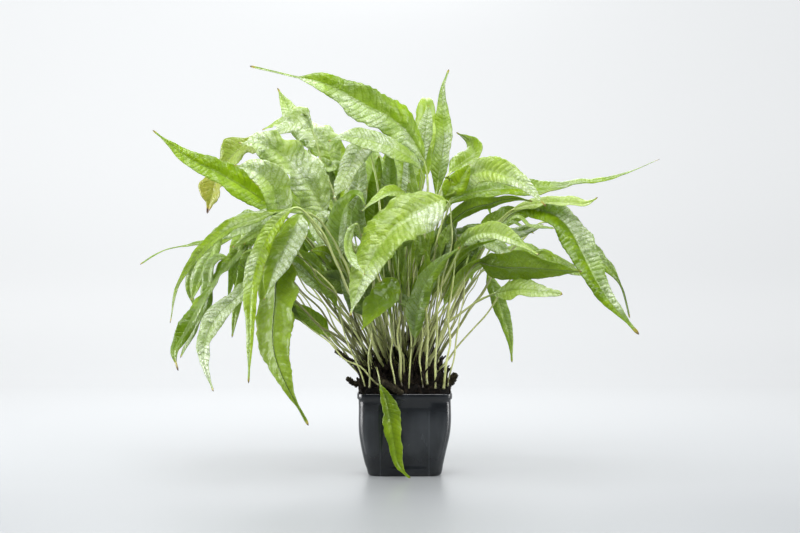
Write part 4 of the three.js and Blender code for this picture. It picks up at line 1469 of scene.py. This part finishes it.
@dataclass
class RootMass:
    """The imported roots: a rough body, fibres that cling to it and stumps of old stalks."""

    solid: bpy.types.Object
    fibres: int = 1300
    stumps: int = 280
    fibre_radius: float = 0.26 * MM
    lowest_lump: float = 80 * MM
    lumps: tuple[Pair, Pair] = ((130, 3.4 * MM), (380, 2.0 * MM))
    half_width: float = 44 * MM
    heights: Pair = (76 * MM, 125 * MM)
    nearest: float = 14 * MM
    fibre_steps: int = 8
    fibre_wobble: float = 0.45
    fibre_sag: float = 0.12
    lowest_fibre: float = 81 * MM
    lowest_stump: float = 79 * MM
    stump_radii: tuple[float, ...] = (1.3, 1.2, 1.1, 1.0, 0.95, 0.8, 0.5)
    seed: int = 11
    skin: BVHTree = field(init=False)

    def build_body(self, material: bpy.types.Material) -> bpy.types.Object:
        """The body: the solid's own shape, made lumpy where it stands above the rim.

        Args:
            material: Its finish.

        Returns:
            The new piece.
        """
        shape = bmesh.new()
        shape.from_mesh(self.solid.data)
        bmesh.ops.remove_doubles(shape, verts=shape.verts, dist=WELD)
        bmesh.ops.subdivide_edges(shape, edges=shape.edges, cuts=5, use_grid_fill=True)
        bmesh.ops.triangulate(shape, faces=shape.faces)
        shape.normal_update()
        moves = []
        for vertex in shape.verts:
            rise = min(max((vertex.co.z - self.lowest_lump) / (6 * MM), 0), 1)
            lump = sum(noise.noise(vertex.co * scale) * height for scale, height in self.lumps)
            moves.append(vertex.normal * (lump * rise))
        for vertex, move in zip(shape.verts, moves):
            vertex.co += move
        self.skin = BVHTree.FromBMesh(shape)
        return finished(shape, "root_ball", material)

    def _on_skin(self, rng: np.random.Generator, lowest: float) -> tuple[Vector, Vector]:
        """A random place on the body above a height, and the way out of it.

        Args:
            rng: The random numbers to draw from.
            lowest: The least height.

        Returns:
            The place and its normal.
        """
        while True:
            across = [rng.uniform(-self.half_width, self.half_width) for _ in (0, 1)]
            start = Vector((*across, rng.uniform(*self.heights)))
            found, normal, _, _ = self.skin.find_nearest(start)
            if found.z > lowest and (found - start).length < self.nearest:
                return found, normal

    def build_fibres(self, material: bpy.types.Material) -> bpy.types.Object:
        """Fine roots that cling to the body and stick out of it a little.

        Args:
            material: Their finish.

        Returns:
            The new piece.
        """
        rng = np.random.default_rng(self.seed)
        shape = bmesh.new()
        for _ in range(self.fibres):
            found, normal = self._on_skin(rng, self.lowest_fibre)
            heading = Vector(rng.normal(0, 1, 3)).normalized()
            heading = (heading - normal * heading.dot(normal)).normalized()
            loose = rng.uniform(0.2, 2.4) * MM
            points = []
            here = found.copy()
            for step in range(self.fibre_steps):
                held, out, _, _ = self.skin.find_nearest(here)
                share = (step + 0.4) / (self.fibre_steps - 0.5)
                points.append(held + out * (loose * math.sin(math.pi * share)))
                wobble = Vector(rng.normal(0, self.fibre_wobble, 3))
                heading = (heading + wobble - Vector((0, 0, self.fibre_sag))).normalized()
                here = held + heading * rng.uniform(1.4, 3.4) * MM
            line = np.array([point[:] for point in points])
            radii = np.full(len(line), self.fibre_radius * rng.uniform(0.6, 1.6))
            add_tube(shape, line, radii, 4)
        return finished(shape, "root_fibres", material)

    def build_stumps(self, material: bpy.types.Material) -> bpy.types.Object:
        """Old stalk bases that stand among the fronds' feet.

        Args:
            material: Their finish.

        Returns:
            The new piece.
        """
        rng = np.random.default_rng(self.seed + 1)
        shape = bmesh.new()
        for _ in range(self.stumps):
            found, _ = self._on_skin(rng, self.lowest_stump)
            lean = (Vector((found.x * 4, found.y * 4, 1)) + Vector(rng.normal(0, 0.22, 3))).normalized()
            inward = 1 - 0.5 * max(abs(found.x), abs(found.y)) / self.half_width
            tall = rng.uniform(8, 22) * MM * rng.uniform(0.7, 1.8) * inward
            steps = np.linspace(-0.25, 1, len(self.stump_radii))
            bend = Vector(rng.normal(0, 1, 3)) * 0.2 * tall
            line = np.array([(found + lean * tall * t + bend * t * t)[:] for t in steps])
            radius = rng.uniform(0.6, 1.9) * MM
            radii = radius * np.array(self.stump_radii)
            line = np.vstack([line, line[-1] + (line[-1] - line[-2]) * 0.04])
            radii = np.append(radii, 0)
            add_tube(shape, line, radii, 7, ripple=0.2)
        return finished(shape, "stalk_stumps", material)


@dataclass
class Rhizome:
    """A short creeping stem with knuckles, a blunt end and fine scales."""

    solid: bpy.types.Object
    name: str
    seed: int
    sides: int = 14
    rows: int = 34
    knuckles: float = 3 * MM
    blunt: float = 0.7
    scales: int = 120
    scale_length: Pair = (1.2 * MM, 3.2 * MM)
    scale_steps: tuple[float, ...] = (0, 0.35, 0.7, 1.0)
    scale_radii: tuple[float, ...] = (0.5 * MM, 0.42 * MM, 0.25 * MM, 0)

    def build(self, material: bpy.types.Material) -> bpy.types.Object:
        """Builds the rhizome round its solid's own middle line.

        Args:
            material: Its finish.

        Returns:
            The new piece.
        """
        rng = np.random.default_rng(self.seed)
        layers = ring_layers(self.solid)
        centres = np.array([layer.mean(0) for layer in layers])
        steps = np.linalg.norm(np.diff(centres, axis=0), axis=1)
        knots = np.concatenate([[0.0], np.cumsum(steps)])
        rings = layers[1:-1]
        radius = float(np.mean([np.linalg.norm(ring - ring.mean(0), axis=1).mean() for ring in rings]))
        at = np.linspace(0, knots[-1], self.rows)
        line = smooth_through(knots, centres, at)
        radii = radius * (1.04 + 0.1 * wander(at, self.knuckles, rng))
        to_end = np.clip(np.minimum(at, knots[-1] - at) / (radius * self.blunt), 0, 1)
        radii = radii * np.sqrt(to_end * (2 - to_end))
        shape = bmesh.new()
        add_tube(shape, line, radii, self.sides, ripple=0.1)
        one, two = carried_frames(line, RING_START)
        for _ in range(self.scales):
            index = int(rng.integers(3, len(line) - 5))
            angle = rng.uniform(0, 2 * math.pi)
            out = math.cos(angle) * one[index] + math.sin(angle) * two[index]
            ahead = unit(line[index + 1] - line[index])
            start = line[index] + out * radii[index] * 0.9
            rise = (out * 0.5 + ahead * 0.8) * rng.uniform(*self.scale_length)
            scale_line = np.array([start + rise * step for step in self.scale_steps])
            add_tube(shape, scale_line, np.array(self.scale_radii), 4)
        return finished(shape, self.name, material)


# Pot


# The lip's section in millimetres: in from the rim's outside, and up from the lip's underside
LIP_PROFILE = (
    (0.9, 0.3), (0.2, 1.0), (0.0, 2.0), (0.0, 5.2), (0.12, 5.65), (0.4, 5.92), (1.0, 6.0), (2.2, 5.8),
    (2.5, 5.1), (2.7, 0.0),
)


@dataclass
class Pot:
    """A square pot of thin moulded plastic: rolled lip, tapering sides and sunk side panels."""

    solid_box: tuple[Vector, Vector]
    lip_height: float = 6 * MM
    wall: float = 1 * MM
    corner: float = 11 * MM
    body_at_lip: float = 87.4 * MM
    body_at_belly: float = 86.6 * MM
    body_at_knee: float = 77.5 * MM
    body_at_base: float = 69.2 * MM
    belly: float = 42 * MM
    knee: float = 18 * MM
    panel_half: float = PANEL_HALF
    panel_depth: float = 1.3 * MM
    panel_end: float = 3 * MM
    panel_foot: float = 7 * MM
    dents: float = 1 * MM
    around: int = 192
    drain_radius: float = 4 * MM
    drain_spacing: float = 18 * MM

    def _outline(self, half: float, corner: float) -> np.ndarray:
        """Points round a square with rounded corners, evenly spaced, from the middle of a side.

        Args:
            half: Half of the square's width.
            corner: Its corners' radius.

        Returns:
            The points.
        """
        straight = half - corner
        arc = corner * math.pi / 2
        side = 2 * straight + arc
        points = []
        for index in range(self.around):
            run = (index / self.around) * 4 * side
            quarter = int(run // side)
            run = run - quarter * side
            if run < straight:
                point = (half, run)
            elif run < straight + arc:
                angle = (run - straight) / corner
                point = (straight + corner * math.cos(angle), straight + corner * math.sin(angle))
            else:
                point = (straight - (run - straight - arc), half)
            turn = quarter * math.pi / 2
            x, y = point
            points.append((x * math.cos(turn) - y * math.sin(turn), x * math.sin(turn) + y * math.cos(turn)))
        return np.array(points)

    def _half_at(self, z: float) -> float:
        """Half of the body's width at a height.

        Args:
            z: The height.

        Returns:
            Half of the width.
        """
        heights = np.array([0.0, self.knee, self.belly, self.top - self.lip_height])
        widths = np.array([self.body_at_base, self.body_at_knee, self.body_at_belly, self.body_at_lip])
        return float(smooth_through(heights, widths, np.array([z]))[0]) / 2

    @property
    def top(self) -> float:
        """Height of the rim."""
        return self.solid_box[1].z

    def _outside(self) -> list[np.ndarray]:
        """Rings of the outside from the base to the rim, with the panels pressed in.

        Returns:
            The rings, base to rim and down the inside.
        """
        rings = []
        under_lip = self.top - self.lip_height
        heights = [0.0, 0.4 * MM, 1.2 * MM, 2.4 * MM, *np.linspace(4 * MM, under_lip - 0.6 * MM, 40)]
        for z in heights:
            foot = max(0.0, 1 - z / (2.4 * MM))
            half = self._half_at(z) - 1.3 * MM * foot**2
            outline = self._outline(half, self.corner)
            above_foot = min(max((z - self.panel_foot) / self.panel_end, 0), 1)
            below_lip = min(max((under_lip - self.panel_end - z) / self.panel_end, 0), 1)
            fade = above_foot * below_lip
            pressed = []
            for x, y in outline:
                along = min(abs(x), abs(y))
                inside = 1 / (1 + math.exp((along - self.panel_half) / (0.35 * MM)))
                depth = self.panel_depth * fade * inside
                dent = self.dents * noise.noise(Vector((x * 32, y * 32, z * 26)))
                shrink = 1 - (depth - dent * fade) / max(abs(x), abs(y))
                pressed.append((x * shrink, y * shrink, z))
            rings.append(np.array(pressed))
        lip_half = (self.solid_box[1].x - self.solid_box[0].x) / 2
        profile = [(self._half_at(under_lip) + 0.2 * MM, under_lip)]
        profile += [(lip_half - inward * MM, under_lip + up * MM) for inward, up in LIP_PROFILE]
        for half, z in profile:
            outline = self._outline(half, self.corner + (half - lip_half))
            rings.append(np.column_stack([outline, np.full(len(outline), z)]))
        for z in np.linspace(under_lip - 6 * MM, self.wall + 0.4 * MM, 9):
            half = self._half_at(z) - self.wall - self.panel_depth
            outline = self._outline(half, self.corner - self.wall)
            rings.append(np.column_stack([outline, np.full(len(outline), z)]))
        return rings

    def build(self, material: bpy.types.Material) -> bpy.types.Object:
        """Builds the pot's shell and cuts its drain holes.

        Args:
            material: Its finish.

        Returns:
            The new piece.
        """
        rings = self._outside()
        shape = bmesh.new()
        made = bmesh.ops.create_circle(shape, cap_ends=False, segments=self.around, radius=1.0)
        loop = made["verts"]
        place(loop, rings[0])
        first = list({edge for vertex in loop for edge in vertex.link_edges})
        edges = first
        for ring in rings[1:]:
            pulled = bmesh.ops.extrude_edge_only(shape, edges=edges)["geom"]
            fresh = [item for item in pulled if isinstance(item, bmesh.types.BMVert)]
            edges = [item for item in pulled if isinstance(item, bmesh.types.BMEdge)]
            edges = [edge for edge in edges if all(vertex in fresh for vertex in edge.verts)]
            by_angle = sorted(fresh, key=lambda vertex: math.atan2(vertex.co.y, vertex.co.x))
            points = sorted(ring.tolist(), key=lambda point: math.atan2(point[1], point[0]))
            place(by_angle, np.array(points))
        bmesh.ops.contextual_create(shape, geom=first)
        bmesh.ops.contextual_create(shape, geom=edges)
        pot = finished(shape, "nursery_pot", material)
        for x in (-1, 1):
            for y in (-1, 1):
                self._drill(pot, x * self.drain_spacing, y * self.drain_spacing)
        return pot

    def _drill(self, pot: bpy.types.Object, x: float, y: float) -> None:
        """Cuts one drain hole through the pot's floor.

        Args:
            pot: The shell.
            x: The hole's place.
            y: The hole's place.
        """
        shape = bmesh.new()
        radius = self.drain_radius
        bmesh.ops.create_cone(
            shape, cap_ends=True, segments=24, radius1=radius, radius2=radius, depth=8 * MM
        )
        bmesh.ops.translate(shape, verts=shape.verts, vec=(x, y, self.wall / 2))
        drill = finished(shape, "drill", pot.data.materials[0])
        cut = pot.modifiers.new("drain", "BOOLEAN")
        cut.object = drill
        cut.operation = "DIFFERENCE"
        cut.solver = "EXACT"
        ready = bpy.context.evaluated_depsgraph_get()
        result = bpy.data.meshes.new_from_object(pot.evaluated_get(ready))
        pot.modifiers.remove(cut)
        pot.data = result
        bpy.data.objects.remove(drill)


# Studio


@dataclass(frozen=True)
class Softbox:
    """An area light aimed at the plant."""

    name: str
    place: Place
    size: Pair
    watts: float
    tint: Colour = (1.0, 1.0, 1.0)

    def build(self, target: Vector) -> None:
        """Adds the light, aimed at a target.

        Args:
            target: The place that the light points at.
        """
        lamp = bpy.data.lights.new(self.name, "AREA")
        lamp.shape = "RECTANGLE"
        lamp.size, lamp.size_y = self.size
        lamp.energy = self.watts
        lamp.color = self.tint
        made = bpy.data.objects.new(self.name, lamp)
        made.location = self.place
        made.rotation_euler = (target - Vector(self.place)).to_track_quat("-Z", "Y").to_euler()
        made.visible_camera = False
        bpy.context.scene.collection.objects.link(made)


@dataclass
class Studio:
    """A pale sheet that sweeps up behind the plant, soft lights and the camera."""

    camera_place: Place = (-4.4 * MM, -1600 * MM, 199 * MM)
    lens: float = 74.39
    aim: Place = (0.0, 0.0, 0.22)
    sheet_reach: float = 3.0
    bend_from: float = 1.2
    bend_radius: float = 0.9
    sky: Colour = (0.97, 0.985, 1.0)
    sky_strength: float = 0.05
    lights: tuple[Softbox, ...] = (
        Softbox("front_top_softbox", (0.0, -0.8, 1.15), (0.8, 0.5), 14.5),
        Softbox("overhead_softbox", (0.0, -0.1, 1.4), (0.8, 0.6), 15.5),
        Softbox("right_softbox", (0.95, -0.6, 0.7), (0.5, 0.5), 7.0),
        Softbox("left_softbox", (-0.95, -0.6, 0.75), (0.5, 0.5), 5.5),
        Softbox("back_softbox", (-0.1, 0.85, 0.95), (1.0, 0.6), 11.0),
        Softbox("left_strip", (-1.0, 0.02, 0.25), (0.5, 0.5), 11.0),
        Softbox("right_strip", (1.0, 0.1, 0.25), (0.25, 0.5), 4.5),
    )

    def build(self) -> None:
        """Adds the sheet, the lights and the camera."""
        scene = bpy.context.scene
        world = bpy.data.worlds.new("studio_air")
        world.use_nodes = True
        air = world.node_tree.nodes["Background"]
        air.inputs["Color"].default_value = (*self.sky, 1)
        air.inputs["Strength"].default_value = self.sky_strength
        scene.world = world
        self._sheet()
        for light in self.lights:
            light.build(Vector(self.aim))
        lens = bpy.data.cameras.new("viewer")
        lens.lens = self.lens
        lens.sensor_width = 36
        camera = bpy.data.objects.new("viewer", lens)
        camera.location = self.camera_place
        camera.rotation_euler = (math.pi / 2, 0, 0)
        scene.collection.objects.link(camera)
        scene.camera = camera
        scene.view_settings.view_transform = "Standard"

    def _sheet(self) -> None:
        """The floor and the backdrop as one sheet with a wide curve between them."""
        shape = bmesh.new()
        bmesh.ops.create_grid(shape, x_segments=2, y_segments=60, size=self.sheet_reach)
        radius = self.bend_radius
        for vertex in shape.verts:
            past = vertex.co.y - self.bend_from
            if past > 0:
                angle = min(past / radius, math.pi / 2)
                rise = max(past - radius * math.pi / 2, 0)
                vertex.co.y = self.bend_from + radius * math.sin(angle)
                vertex.co.z = radius * (1 - math.cos(angle)) + rise
        sheet = finished(shape, "pale_sheet", FloorFinish("pale_sheet").material())
        if sheet.data.polygons[0].normal.z < 0:
            sheet.data.flip_normals()


# The whole plant


@dataclass
class JavaFern:
    """The potted plant: pot, roots, rhizomes and fronds, dressed round their solids."""

    nodes: dict[str, bpy.types.Object]
    looks: dict[str, Look]

    def _keep(self, piece: bpy.types.Object, look: Look, *solids: str) -> None:
        """Makes a piece ride on the plant's body in place of its solids.

        Args:
            piece: The new piece.
            look: The slot of its finish; not used.
            *solids: The nodes that it replaces.
        """
        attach(piece, ROOT_BODY)
        if solids:
            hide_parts(*solids)
        LOG.info("%s: %d faces", piece.name, len(piece.data.polygons))

    def build_pot(self) -> None:
        """Builds the pot."""
        pot = Pot(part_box("pot")).build(PotFinish("pot_plastic").material())
        self._keep(pot, Look.POT, "pot")

    def build_roots(self) -> None:
        """Builds the root mass and the rhizomes that creep out of it."""
        earth = BarkFinish("packed_roots", dark=(0.0025, 0.002, 0.0015), light=(0.009, 0.006, 0.004))
        hair = BarkFinish("fine_roots", dark=(0.005, 0.003, 0.002), light=(0.03, 0.02, 0.011), coarse=300)
        bark = BarkFinish("rhizome_bark", dark=(0.014, 0.011, 0.006), light=(0.05, 0.042, 0.02), coarse=260)
        mass = RootMass(self.nodes["root_mass"])
        self._keep(mass.build_body(earth.material()), Look.ROOTS, "root_mass")
        dark_hair = hair.material()
        self._keep(mass.build_fibres(dark_hair), Look.ROOTS)
        self._keep(mass.build_stumps(dark_hair), Look.ROOTS)
        dark_bark = bark.material()
        names = sorted(name for name in self.nodes if name.startswith("rhizome"))
        for index, name in enumerate(names):
            stem = Rhizome(self.nodes[name], name.replace("rhizome", "creeping_stem"), seed=STEM_SEED + index)
            self._keep(stem.build(dark_bark), Look.RHIZOME, name)

    def build_fronds(self) -> None:
        """Builds every frond round its own solid."""
        names = sorted(name for name in self.nodes if name.startswith("frond_"))
        spines = {name: Spine.from_solid(self.nodes[name]) for name in names}
        materials = {look: finish.material() for look, finish in LEAF_FINISHES.items()}
        for index, name in enumerate(names):
            look = self.looks[name]
            short = name.removeprefix("frond_")
            frond = Frond(short, spines[name], HABITS.get(short, Habit()), seed=FROND_SEED + index)
            self._keep(frond.build(materials[look]), look, name)
        grown = [spine for name, spine in spines.items() if name != "frond_over_the_rim"]
        for look, piece in Undergrowth(grown, SPROUTS).build(materials).items():
            self._keep(piece, look)


def main() -> None:
    logging.basicConfig(level=logging.INFO, format="%(message)s")
    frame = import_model()
    Studio().build()
    looks = {part["node"]: Look(part["material_slot"]) for part in frame["record"]["subparts"]}
    fern = JavaFern(frame["nodes"], looks)
    fern.build_pot()
    fern.build_roots()
    fern.build_fronds()


if __name__ == "__main__":
    main()
